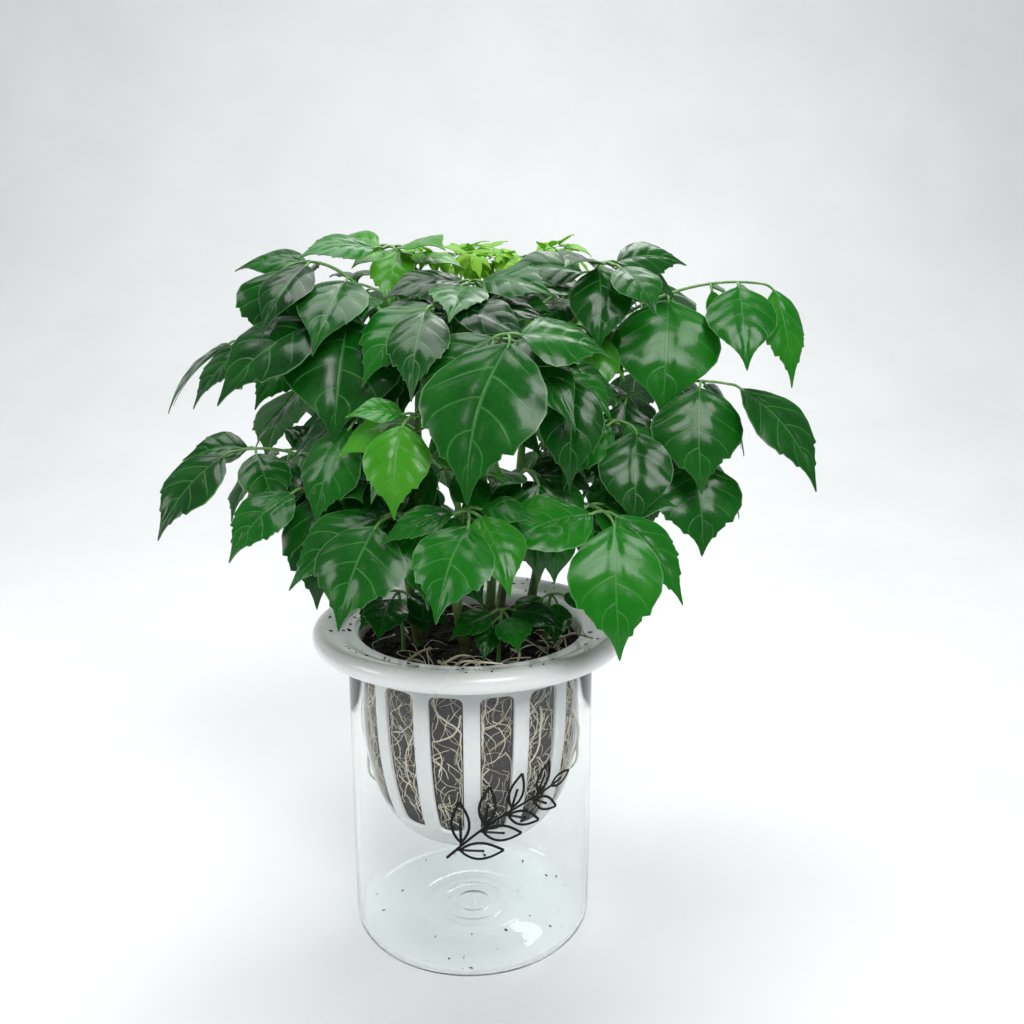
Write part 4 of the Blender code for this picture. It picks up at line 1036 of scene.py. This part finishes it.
class Stalk:
    """The bowed main stalk of a compound leaf."""

    def __init__(self, start, end, bow, lift):
        self.level = Vector((end.x - start.x, end.y - start.y, 0)).normalized()
        self.side = Vector((-self.level.y, self.level.x, 0))
        self.start, self.end = start, end
        self.middle = (start + end) / 2 + self.side * bow
        self.middle.z = end.z + STALK_CROWN + lift

    def at(self, share):
        rest = 1 - share
        return rest ** 2 * self.start + 2 * share * rest * self.middle + share ** 2 * self.end

    def tree(self, grow=0.0):
        points, faces = [], []
        reach = self.side * (STALK_WIDTH / 2 + grow)
        for lift in (-grow, grow) if grow else (0.0,):
            first = len(points)
            for i in range(11):
                middle = self.at(i / 10) + UP * lift
                points += [middle + reach, middle - reach]
            for i in range(10):
                a = first + 2 * i
                faces += [(a, a + 1, a + 3), (a, a + 3, a + 2)]
        return BVHTree.FromPolygons(points, faces)


def is_clear(tree, others):
    return not any(tree.overlap(other) for other in others)


def is_above_pot(points):
    for point in points:
        radius = math.hypot(point.x, point.y)
        floor_here = SOIL_Z if radius < BOWL_RADIUS - BASKET_WALL - CLEARANCE else COLLAR_TOP
        if radius < COLLAR_RADIUS + CLEARANCE and point.z < floor_here + CLEARANCE:
            return False
    return True


def by_size(limit, step):
    """Steps to both sides of nought, the smallest first."""
    return sorted(range(-limit, limit + 1, step), key=abs)


def place_stalk(start, end, stems, own_stem, stalks):
    """The first bow and lift of a main stalk that keep it clear of the stems and the other stalks."""
    others = [tree for name, tree in stems.items() if name != own_stem] + stalks
    own = [stems[own_stem]] if own_stem else []
    tries = [(bow, lift) for bow in by_size(*BOWS) for lift in by_size(*LIFTS)]
    for bow, lift in sorted(tries, key=lambda each: abs(each[0]) + abs(each[1])):
        stalk = Stalk(start, end, bow * MM, lift * MM)
        if is_clear(stalk.tree(CLEARANCE), others) and is_clear(stalk.tree(), own):
            return stalk
    return Stalk(start, end, 0, 0)


def place_blade(stalk, leaflet, taken, own_blades, own_stalk):
    """A leaflet's blade at the first turn and droop that keep it clear of all that is placed."""
    share, azimuth, droop, length, width = leaflet
    angles = by_size(*TURNINGS)
    tries = sorted(((turned, dip) for turned in angles for dip in angles),
                   key=lambda each: each[0] ** 2 + each[1] ** 2)
    for size in BLADE_SIZES:
        for turned, dip in tries:
            along = heading(azimuth + turned, droop + dip)
            outward = stalk.level
            if share < 1:
                outward = stalk.side if stalk.side.dot(along) > 0 else -stalk.side
            root = stalk.at(share) + outward * STALK_WIDTH / 2
            base = root + (outward + along).normalized() * SIDE_STALK
            blade = Blade(base, azimuth + turned, droop + dip, length * MM * size, width)
            slab = blade.tree(CLEARANCE)
            link = BVHTree.FromPolygons(
                [root + blade.normal * MM, root - blade.normal * MM, base], [(0, 1, 2)])
            if (is_above_pot(blade.surfaces(CLEARANCE)[0]) and is_clear(slab, taken)
                    and is_clear(slab, own_blades) and is_clear(slab, [own_stalk])
                    and is_clear(link, taken)):
                return blade
    return blade


def node_tree_of(name):
    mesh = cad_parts[name].data
    return BVHTree.FromPolygons([point.co.copy() for point in mesh.vertices],
                                [tuple(face.vertices) for face in mesh.polygons])


def leaf_start(stem, height, end):
    """Where a main stalk begins: just off the stem's side, or just over the soil."""
    if not isinstance(stem, str):
        return above_soil((*stem, height)) + UP * (GAP + LEAF_THICKNESS / 2)
    route = stem_route(stem, 2)
    z = min(SOIL_Z + height * MM, route[-1].z - STALK_WIDTH)
    centre, radius = route[0].copy(), STEM_RADIUS
    for i, (low, high) in enumerate(zip(route, route[1:])):
        if low.z <= z <= high.z:
            share = (z - low.z) / (high.z - low.z)
            centre = low.lerp(high, share)
            radius = STEM_RADIUS * (1 + (STEM_TAPER - 1) * (i + share) / (len(route) - 1))
            break
    out = Vector((end.x - centre.x, end.y - centre.y, 0)).normalized()
    return centre + out * (radius + GAP + LEAF_THICKNESS)


def place_leaves(rows):
    """Stalk and blades of each leaf, in the places that the frame's leaves hold."""
    stems = {name: node_tree_of(name) for name in STEMS}
    obstacles = [node_tree_of(name) for name in (*SURFACE_ROOTS, "basket")]
    stalks, stalk_trees, blade_trees, placed = [], [], [], []
    for name, stem, height, end, leaflets in rows:
        end = above_soil(end)
        own_stem = stem if isinstance(stem, str) else None
        stalk = place_stalk(leaf_start(stem, height, end), end, stems, own_stem, stalk_trees)
        stalks.append(stalk)
        stalk_trees.append(stalk.tree())
    for i, (name, stem, height, end, leaflets) in enumerate(rows):
        taken = list(stems.values()) + obstacles + stalk_trees[:i] + stalk_trees[i + 1:] + blade_trees
        blades, own_trees = [], []
        for leaflet in leaflets:
            blades.append(place_blade(stalks[i], leaflet, taken, own_trees, stalk_trees[i]))
            own_trees.append(blades[-1].tree())
        blade_trees += own_trees
        placed.append((name, stem, stalks[i], [leaflet[0] for leaflet in leaflets], blades))
    return placed


def add_inner_leaflets(placed):
    """Small leaflets near the foot of the main stalks, wherever there is room for them."""
    taken = [node_tree_of(name) for name in (*STEMS, "basket")]
    taken += [stalk.tree() for _, _, stalk, _, _ in placed]
    taken += [blade.tree() for *_, blades in placed for blade in blades]
    for name, _, stalk, shares, blades in placed:
        if not name.startswith("leaf_"):
            continue
        along = math.degrees(math.atan2(stalk.level.y, stalk.level.x))
        for share, lean, length in INNER_LEAFLETS:
            leaflet = (share, along + lean, INNER_DROOP, length, INNER_WIDTH)
            blade = place_blade(stalk, leaflet, taken, [], stalk.tree())
            if is_clear(blade.tree(CLEARANCE / 2), taken) and is_above_pot(blade.surfaces(CLEARANCE)[0]):
                blades.append(blade)
                shares.append(share)
                taken.append(blade.tree())


seedling_rows = [(name, foot, 0, end, leaflets) for name, foot, end, leaflets in SEEDLINGS]
placed = place_leaves([*LEAVES, *YOUNG_SHOOTS, *seedling_rows])
add_inner_leaflets(placed)

OUTLINE = (  # place along a leaflet, half width there
    (0, .06), (.05, .32), (.14, .69), (.26, .95), (.38, 1.04), (.50, .98), (.60, .80),
    (.69, .56), (.77, .33), (.84, .18), (.91, .09), (.97, .04), (1, .01))
TEETH = {  # side, place along the leaflet, size
    "smooth_leaflet": (),
    "toothed_leaflet": ((-1, .66, .17), (-1, .78, .12), (1, .60, .15), (1, .74, .15)),
    "coarse_leaflet": ((-1, .46, .14), (-1, .60, .18), (-1, .74, .16),
                       (1, .52, .16), (1, .66, .19), (1, .79, .13)),
}
LEAFLET_ROWS = 34
LEAFLET_COLUMNS = 12
SIDE_VEINS = 5.0
VEIN_FORWARD = 0.24
VEIN_WIDTH = 0.05
PUCKER = 0.0075
GROOVE = 0.010
GROOVE_WIDTH = 0.10


def outline_at(share):
    for (s1, w1), (s2, w2) in zip(OUTLINE, OUTLINE[1:]):
        if share <= s2:
            t = (share - s1) / (s2 - s1)
            return w1 + (w2 - w1) * (3 - 2 * t) * t * t * 0.35 + (w2 - w1) * t * 0.65
    return 0.0


def make_leaflet(name, teeth, rows, columns):
    """A flat leaflet one unit long and two wide, puckered between its side veins."""
    begin()
    bpy.ops.mesh.primitive_grid_add(x_subdivisions=columns, y_subdivisions=rows, size=2, calc_uvs=True)
    leaflet = bpy.context.object
    leaflet.name = name
    edit()
    bpy.ops.transform.resize(value=(1, 0.5, 1))
    bpy.ops.transform.translate(value=(0, 0.5, 0))
    for row in range(rows + 1):
        share = row / rows
        pick(leaflet, lambda point: abs(point.y - share) < 0.2 / rows)
        bpy.ops.transform.resize(value=(outline_at(share), 1, 1), center_override=(0, share, 0))
    for side, share, size in teeth:
        row = round(share * rows) / rows
        margin = outline_at(row)
        for reach, part in ((0.99, 1.0), (1 - 2.2 / columns, 0.45)):
            pick(leaflet, lambda point: (abs(point.y - row) < 0.2 / rows
                                         and point.x * side > margin * reach))
            bpy.ops.transform.translate(value=(side * size * part * 0.55, size * 0.14 * part, 0))
        pick(leaflet, lambda point: (0.5 / rows < point.y - row < 1.5 / rows
                                     and point.x * side > margin * 0.8))
        bpy.ops.transform.translate(value=(-side * size * 0.35, 0, 0))
    edit(False)
    for point in leaflet.data.vertices:
        x, share, _ = point.co
        margin = min(abs(x) / max(outline_at(share), 0.02), 1)
        phase = SIDE_VEINS * (share - VEIN_FORWARD * margin ** 1.3)
        bulge = (0.5 - 0.5 * math.cos(2 * math.pi * phase)) * 4 * margin * (1 - margin)
        groove = math.exp(-(x / GROOVE_WIDTH) ** 2)
        point.co.z = (PUCKER * bulge - GROOVE * groove) * min(outline_at(share) * 1.6, 1)
    tint = leaflet.data.attributes.new("tint", "FLOAT", "POINT")
    tint.data.foreach_set("value", [0.5] * len(leaflet.data.vertices))
    leaflet.hide_render = True
    return leaflet


leaflet_forms = {name: make_leaflet(name, teeth, LEAFLET_ROWS, LEAFLET_COLUMNS)
                 for name, teeth in TEETH.items()}
inner_form = make_leaflet("inner_leaflet", (), 12, 4)


def blade_points(form, blade, chance):
    """The points of a leaflet form, bent along a blade, with its own cup, twist and waves."""
    rest = np.empty(len(form.data.vertices) * 3)
    form.data.vertices.foreach_get("co", rest)
    x, share, z = rest.reshape(-1, 3).T
    start = math.radians(blade.droop) - BLADE_ARCH
    dip = start + 2 * BLADE_ARCH * share
    level = np.array(heading(blade.azimuth, 0))
    up = np.array(UP)
    out = (np.sin(dip) - math.sin(start)) / (2 * BLADE_ARCH) * blade.length
    down = (math.cos(start) - np.cos(dip)) / (2 * BLADE_ARCH) * blade.length
    middle = np.array(blade.base) + out[:, None] * level - down[:, None] * up
    along = np.cos(dip)[:, None] * level - np.sin(dip)[:, None] * up
    side = np.array(blade.side)
    normal = np.cross(side, along)
    normal /= np.linalg.norm(normal, axis=1)[:, None]
    twist = math.radians(chance.uniform(-16, 16)) * (share - 0.15)
    across = side * np.cos(twist)[:, None] + normal * np.sin(twist)[:, None]
    face = normal * np.cos(twist)[:, None] - side * np.sin(twist)[:, None]
    fold, cup = chance.uniform(0.02, 0.20), chance.uniform(0.10, 0.30)
    waves = chance.uniform(0.02, 0.07)
    phase = chance.uniform(0, 6.28) + np.where(x > 0, 1.9, 0)
    lift = fold * np.abs(x) - cup * x * x + waves * x * x * np.sin(2 * math.pi * 2.2 * share + phase)
    sway = chance.uniform(-0.035, 0.035) * blade.length * np.sin(math.pi * share)
    return (middle + across * (x * blade.half + sway)[:, None]
            + face * (z * blade.length + lift * blade.half)[:, None])


def place_leaflet(form, blade, tint, chance):
    leaflet = form.copy()
    leaflet.data = form.data.copy()
    leaflet.hide_render = False
    bpy.context.scene.collection.objects.link(leaflet)
    points = blade_points(form, blade, chance)
    leaflet.data.vertices.foreach_set("co", points.astype(np.float32).ravel())
    leaflet.data.attributes["tint"].data.foreach_set("value", [tint] * len(points))
    leaflet.data.update()
    return leaflet


def vein_group():
    """Veins of a leaflet from its map: a midrib, side veins that run forward, a fine net, and a thin band
    along the rim where a highlight is painted.
    """
    group = bpy.data.node_groups.new("leaf_veins", "ShaderNodeTree")
    sockets = group.interface
    sockets.new_socket("Map", in_out="INPUT", socket_type="NodeSocketVector")
    for name in ("Pairs", "Forward", "Width"):
        sockets.new_socket(name, in_out="INPUT", socket_type="NodeSocketFloat")
    for name in ("Veins", "Relief", "Net", "Painted_Rim_Highlight"):
        sockets.new_socket(name, in_out="OUTPUT", socket_type="NodeSocketFloat")
    given = group.nodes.new("NodeGroupInput").outputs
    result = group.nodes.new("NodeGroupOutput").inputs

    def math_node(operation, a, b=0.0):
        return wire(group, "ShaderNodeMath", {0: a, 1: b}, operation=operation).outputs["Value"]

    def between(value, low, high, to_low=0.0, to_high=1.0):
        return wire(group, "ShaderNodeMapRange", {
            "Value": value, "From Min": low, "From Max": high, "To Min": to_low, "To Max": to_high},
            interpolation_type="SMOOTHSTEP").outputs["Result"]

    parts = wire(group, "ShaderNodeSeparateXYZ", {"Vector": given["Map"]}).outputs
    offset = math_node("SUBTRACT", parts["X"], 0.5)
    margin = math_node("MULTIPLY", math_node("ABSOLUTE", offset), 2.0)
    midrib = between(margin, 0.010, 0.036, 1.0, 0.0)
    forward = math_node("MULTIPLY", math_node("POWER", margin, 1.3), given["Forward"])
    stagger = math_node("MULTIPLY", math_node("SIGN", offset), 0.03)
    run = math_node("ADD", math_node("SUBTRACT", parts["Y"], forward), stagger)
    phase = math_node("FRACT", math_node("MULTIPLY", run, given["Pairs"]))
    away = math_node("SUBTRACT", 0.5, math_node("ABSOLUTE", math_node("SUBTRACT", phase, 0.5)))
    line = between(math_node("DIVIDE", away, given["Width"]), 0.3, 1.0, 1.0, 0.0)
    to_tip = between(parts["Y"], 0.80, 0.93, 1.0, 0.0)
    fading = math_node("MULTIPLY", between(margin, 0.72, 0.97, 1.0, 0.0), to_tip)
    from_foot = between(parts["Y"], 0.02, 0.1)
    side_veins = math_node("MULTIPLY", math_node("MULTIPLY", line, fading), from_foot)
    veins = math_node("MAXIMUM", midrib, math_node("MULTIPLY", side_veins, 0.75))
    stretched = wire(group, "ShaderNodeVectorMath", {0: given["Map"], 1: (13.0, 26.0, 1.0)},
                     operation="MULTIPLY")
    net = wire(group, "ShaderNodeTexVoronoi", {"Vector": stretched.outputs["Vector"], "Scale": 1.0},
               feature="DISTANCE_TO_EDGE")
    netting = between(net.outputs["Distance"], 0.0, 0.10, 1.0, 0.0)
    hill = math_node("MULTIPLY", between(away, 0.0, 0.4), between(margin, 0.0, 0.3))
    sunk = math_node("MULTIPLY", math_node("MAXIMUM", midrib, side_veins), 0.8)
    relief = math_node("SUBTRACT", math_node("ADD", hill, math_node("MULTIPLY", netting, -0.04)), sunk)
    # The last output masks a thin band along the leaflet's rim, where a pale highlight is painted.
    for name, value in (("Veins", veins), ("Relief", relief), ("Net", netting),
                        ("Painted_Rim_Highlight", between(margin, 0.955, 0.99))):
        group.links.new(value, result[name])
    return group


leaf_veins = vein_group()


def lay_over(tree, under, colour, mask, share):
    """A colour laid over another where the mask is, by this share."""
    amount = wire(tree, "ShaderNodeMath", {0: mask, 1: share}, operation="MULTIPLY").outputs["Value"]
    return wire(tree, "ShaderNodeMix", {"Factor": amount, "A": under, "B": (*colour, 1)},
                data_type="RGBA").outputs[2]


def leaf_finish(name, dark, fresh, young, vein, rim_highlight, roughness, glow, glow_share, coat=0.3, relief=0.25):
    """A leaf's face: green that its tint makes darker or paler (partly the leaf's age, partly painted
    backlight), pale veins, a painted highlight along the rim, and light through it.
    """
    material, tree, shader = new_finish(
        name, Coat_Weight=coat, Coat_Roughness=0.12, Specular_IOR_Level=0.24)
    chart = wire(tree, "ShaderNodeUVMap").outputs["UV"]
    lines = wire(tree, "ShaderNodeGroup", {
        "Map": chart, "Pairs": SIDE_VEINS, "Forward": VEIN_FORWARD, "Width": VEIN_WIDTH},
        node_tree=leaf_veins).outputs
    cloud = noise(tree, 70.0, 4.0)
    drift = spread(tree, cloud, 0.3, 0.7, -0.14, 0.14)
    tint = wire(tree, "ShaderNodeAttribute", attribute_name="tint").outputs["Fac"]
    amount = wire(tree, "ShaderNodeMath", {0: tint, 1: drift}, operation="ADD").outputs["Value"]
    halved = wire(tree, "ShaderNodeMath", {0: amount, 1: 0.5}, operation="MULTIPLY").outputs["Value"]
    green = ramp(tree, halved, (0.0, dark), (0.5, fresh), (1.0, young))
    green = lay_over(tree, green, vein, lines["Net"], 0.05)
    green = lay_over(tree, green, vein, lines["Veins"], 0.4)
    # Paints a pale highlight along each leaflet's rim, in place of light catching the edge.
    green = lay_over(tree, green, rim_highlight, lines["Painted_Rim_Highlight"], 0.4)
    pores = bumped(tree, noise(tree, 900.0, 2.0), 0.04, 0.2 * MM)
    feed(tree, shader, Base_Color=green,
         Roughness=spread(tree, cloud, 0.3, 0.7, roughness - 0.06, roughness + 0.08),
         Normal=bumped(tree, lines["Relief"], relief, 0.8 * MM, pores))
    through = wire(tree, "ShaderNodeBsdfTranslucent", {"Color": (*glow, 1)})
    mix_shaders(tree, glow_share, shader, through)
    return material


# The fifth colour of each leaf finish is its painted rim highlight.
leaf_top = leaf_finish("leaf_face", (0.001, 0.027, 0.004), (0.009, 0.205, 0.007), (0.140, 0.480, 0.020),
                       (0.12, 0.40, 0.10), (0.26, 0.50, 0.22), 0.25, (0.06, 0.50, 0.01), 0.16)
leaf_under = leaf_finish("leaf_back", (0.020, 0.100, 0.028), (0.055, 0.240, 0.045), (0.200, 0.480, 0.080),
                         (0.22, 0.44, 0.16), (0.26, 0.46, 0.20), 0.48, (0.06, 0.50, 0.01), 0.16,
                         coat=0.0, relief=-0.3)
stalk_skin, tree, shader = new_finish("stalk_skin", Roughness=0.38)
feed(tree, shader, Base_Color=ramp(
    tree, noise(tree, 160.0, 3.0), (0.35, (0.07, 0.22, 0.04)), (0.7, (0.20, 0.42, 0.11))))

LEAF_SHEET = 0.42 * MM
LEAF_STALK = 0.95 * MM
USUAL_TINT = 0.36
LEAFLET_COUNTS = {row[0]: len(row[-1]) for row in (*LEAVES, *YOUNG_SHOOTS, *SEEDLINGS)}
FORM_OF = {"leaf_front_left_low": "coarse_leaflet", "leaf_right_middle": "toothed_leaflet",
           "leaf_front_high": "toothed_leaflet", "leaf_left_low": "toothed_leaflet"}
# Per-leaf tint: higher values paint a leaf paler, partly for young leaves' own colour and partly as painted
# light where a leaf is lit from behind; lower values make it darker.
TINT_FOR_AGE_AND_PAINTED_LIGHT = {"leaf_young_left": 1.25, "leaf_top_back_left": 1.25, "leaf_inner_high": 1.4,
           "leaf_front_low": 0.85, "leaf_front_right_low": 0.75, "leaf_right_top": 0.9,
           "leaf_upper_left": 0.05, "leaf_front_high": 0.45, "leaf_front_left_low": 0.55}


def leaf_tubes(stem, stalk, shares, blades, thick):
    """Centre lines and radii of the main stalk, the side stalks and the midribs under the blades."""
    steps = 20
    route = [stalk.at(i / steps) for i in range(steps + 1)]
    if isinstance(stem, str):
        route[0] = route[0] - stalk.level * (GAP + LEAF_THICKNESS + 0.6 * MM)
    else:
        route[0].z = SOIL_Z
    tubes = [(route, [thick * (1.0 - 0.4 * i / steps + 0.35 * math.exp(-i)) for i in range(steps + 1)])]
    for share, blade in zip(shares, blades):
        hidden = blade.midrib(0.03) - blade.normal * 0.3 * MM
        bend = (stalk.at(share) + blade.base) / 2 + UP * 0.5 * MM
        link = smooth_route([stalk.at(share), bend, blade.base, hidden], 3)
        tubes.append((link, [thick * 0.62] * (len(link) - 1) + [thick * 0.5]))
        under = LEAF_SHEET * 0.6 + 0.014 * blade.length
        rib = [blade.midrib(s / 10) - blade.normal * under for s in range(10)]
        tubes.append((rib, [thick * 0.48 * (1 - 0.085 * s) for s in range(10)]))
    return tubes


def grow(name, leaflets, faces, sheet, tubes, slot):
    """Joins leaflets, gives them their thickness and the stalks they hang on, and replaces the leaf."""
    leaf = join(leaflets, "grown_" + name)
    leaf.data.materials.clear()
    for material in faces:
        leaf.data.materials.append(material)
    thick = leaf.modifiers.new("thickness", "SOLIDIFY")
    thick.thickness = sheet
    thick.offset = 0
    thick.material_offset = 1
    bpy.ops.object.modifier_apply(modifier="thickness")
    stalks = draw_tubes("stalks", tubes, 1)
    stalks.data.materials.append(stalk_skin)
    finish_piece(join([leaf, stalks], "grown_" + name), None, smooth=60, replaces=[name])


for name, stem, stalk, shares, blades in placed:
    if name.startswith("young_"):
        continue
    own = random.Random(name)
    leaflets = []
    for i, blade in enumerate(blades):
        form = leaflet_forms[own.choice(list(leaflet_forms))]
        if i < 2 and name in FORM_OF:
            form = leaflet_forms[FORM_OF[name]]
        if i >= LEAFLET_COUNTS[name]:
            form = inner_form
        # The leaf's tint, partly its age and partly painted backlight, varied a little at random.
        tint = TINT_FOR_AGE_AND_PAINTED_LIGHT.get(name, USUAL_TINT) + own.uniform(-0.30, 0.30)
        leaflets.append(place_leaflet(form, blade, tint, own))
    tubes = leaf_tubes(stem, stalk, shares, blades, LEAF_STALK)
    grow(name, leaflets, (leaf_top, leaf_under), LEAF_SHEET, tubes, "leaf")


# The young shoots: pale tufts of new leaves at the top, still soft and curled. Each little rib
# carries small leaflets in pairs that will spread as they grow.

YOUNG_SHEET = 0.3 * MM
YOUNG_STALK = 0.6 * MM
SPROUT_WIDTH = 0.36
SPROUTS = (  # place on the rib, angle from it
    (0.1, 74), (0.1, -74), (0.28, 62), (0.28, -62), (0.46, 54), (0.46, -54), (0.64, 42), (0.64, -42),
    (0.8, 0))

young_form = make_leaflet("young_leaflet", ((-1, .4, .22), (1, .6, .22)), 10, 4)
# Here too the fifth colour is the painted rim highlight.
young_top = leaf_finish("young_face", (0.16, 0.46, 0.03), (0.38, 0.74, 0.05), (0.55, 0.85, 0.10),
                        (0.45, 0.75, 0.20), (0.50, 0.75, 0.20), 0.34, (0.45, 0.85, 0.08), 0.35, coat=0.1)
young_under = leaf_finish("young_back", (0.24, 0.52, 0.06), (0.42, 0.72, 0.10), (0.55, 0.80, 0.20),
                          (0.45, 0.70, 0.25), (0.45, 0.70, 0.25), 0.5, (0.45, 0.85, 0.08), 0.35,
                          coat=0.0, relief=-0.3)


def sprout_blades(blade, chance):
    """The small leaflets along one rib of a young leaf, in pairs, with one at the end."""
    found = []
    for share, lean in SPROUTS:
        length = blade.length * (0.66 - 0.2 * abs(share - 0.4)) * chance.uniform(0.8, 1.2)
        droop = blade.droop + chance.uniform(-22, 62)
        azimuth = blade.azimuth + lean + chance.uniform(-14, 14)
        found.append(Blade(blade.midrib(share), azimuth, droop, length, SPROUT_WIDTH))
    return found


for name, stem, stalk, shares, blades in placed:
    if not name.startswith("young_"):
        continue
    own = random.Random(name)
    sprouts = [small for blade in blades for small in sprout_blades(blade, own)]
    leaflets = [place_leaflet(young_form, small, own.uniform(0.2, 1.0), own) for small in sprouts]
    tubes = leaf_tubes(stem, stalk, shares, blades, YOUNG_STALK)
    grow(name, leaflets, (young_top, young_under), YOUNG_SHEET, tubes, "young_leaf")

for form in [*leaflet_forms.values(), inner_form, young_form]:
    bpy.data.objects.remove(form, do_unlink=True)
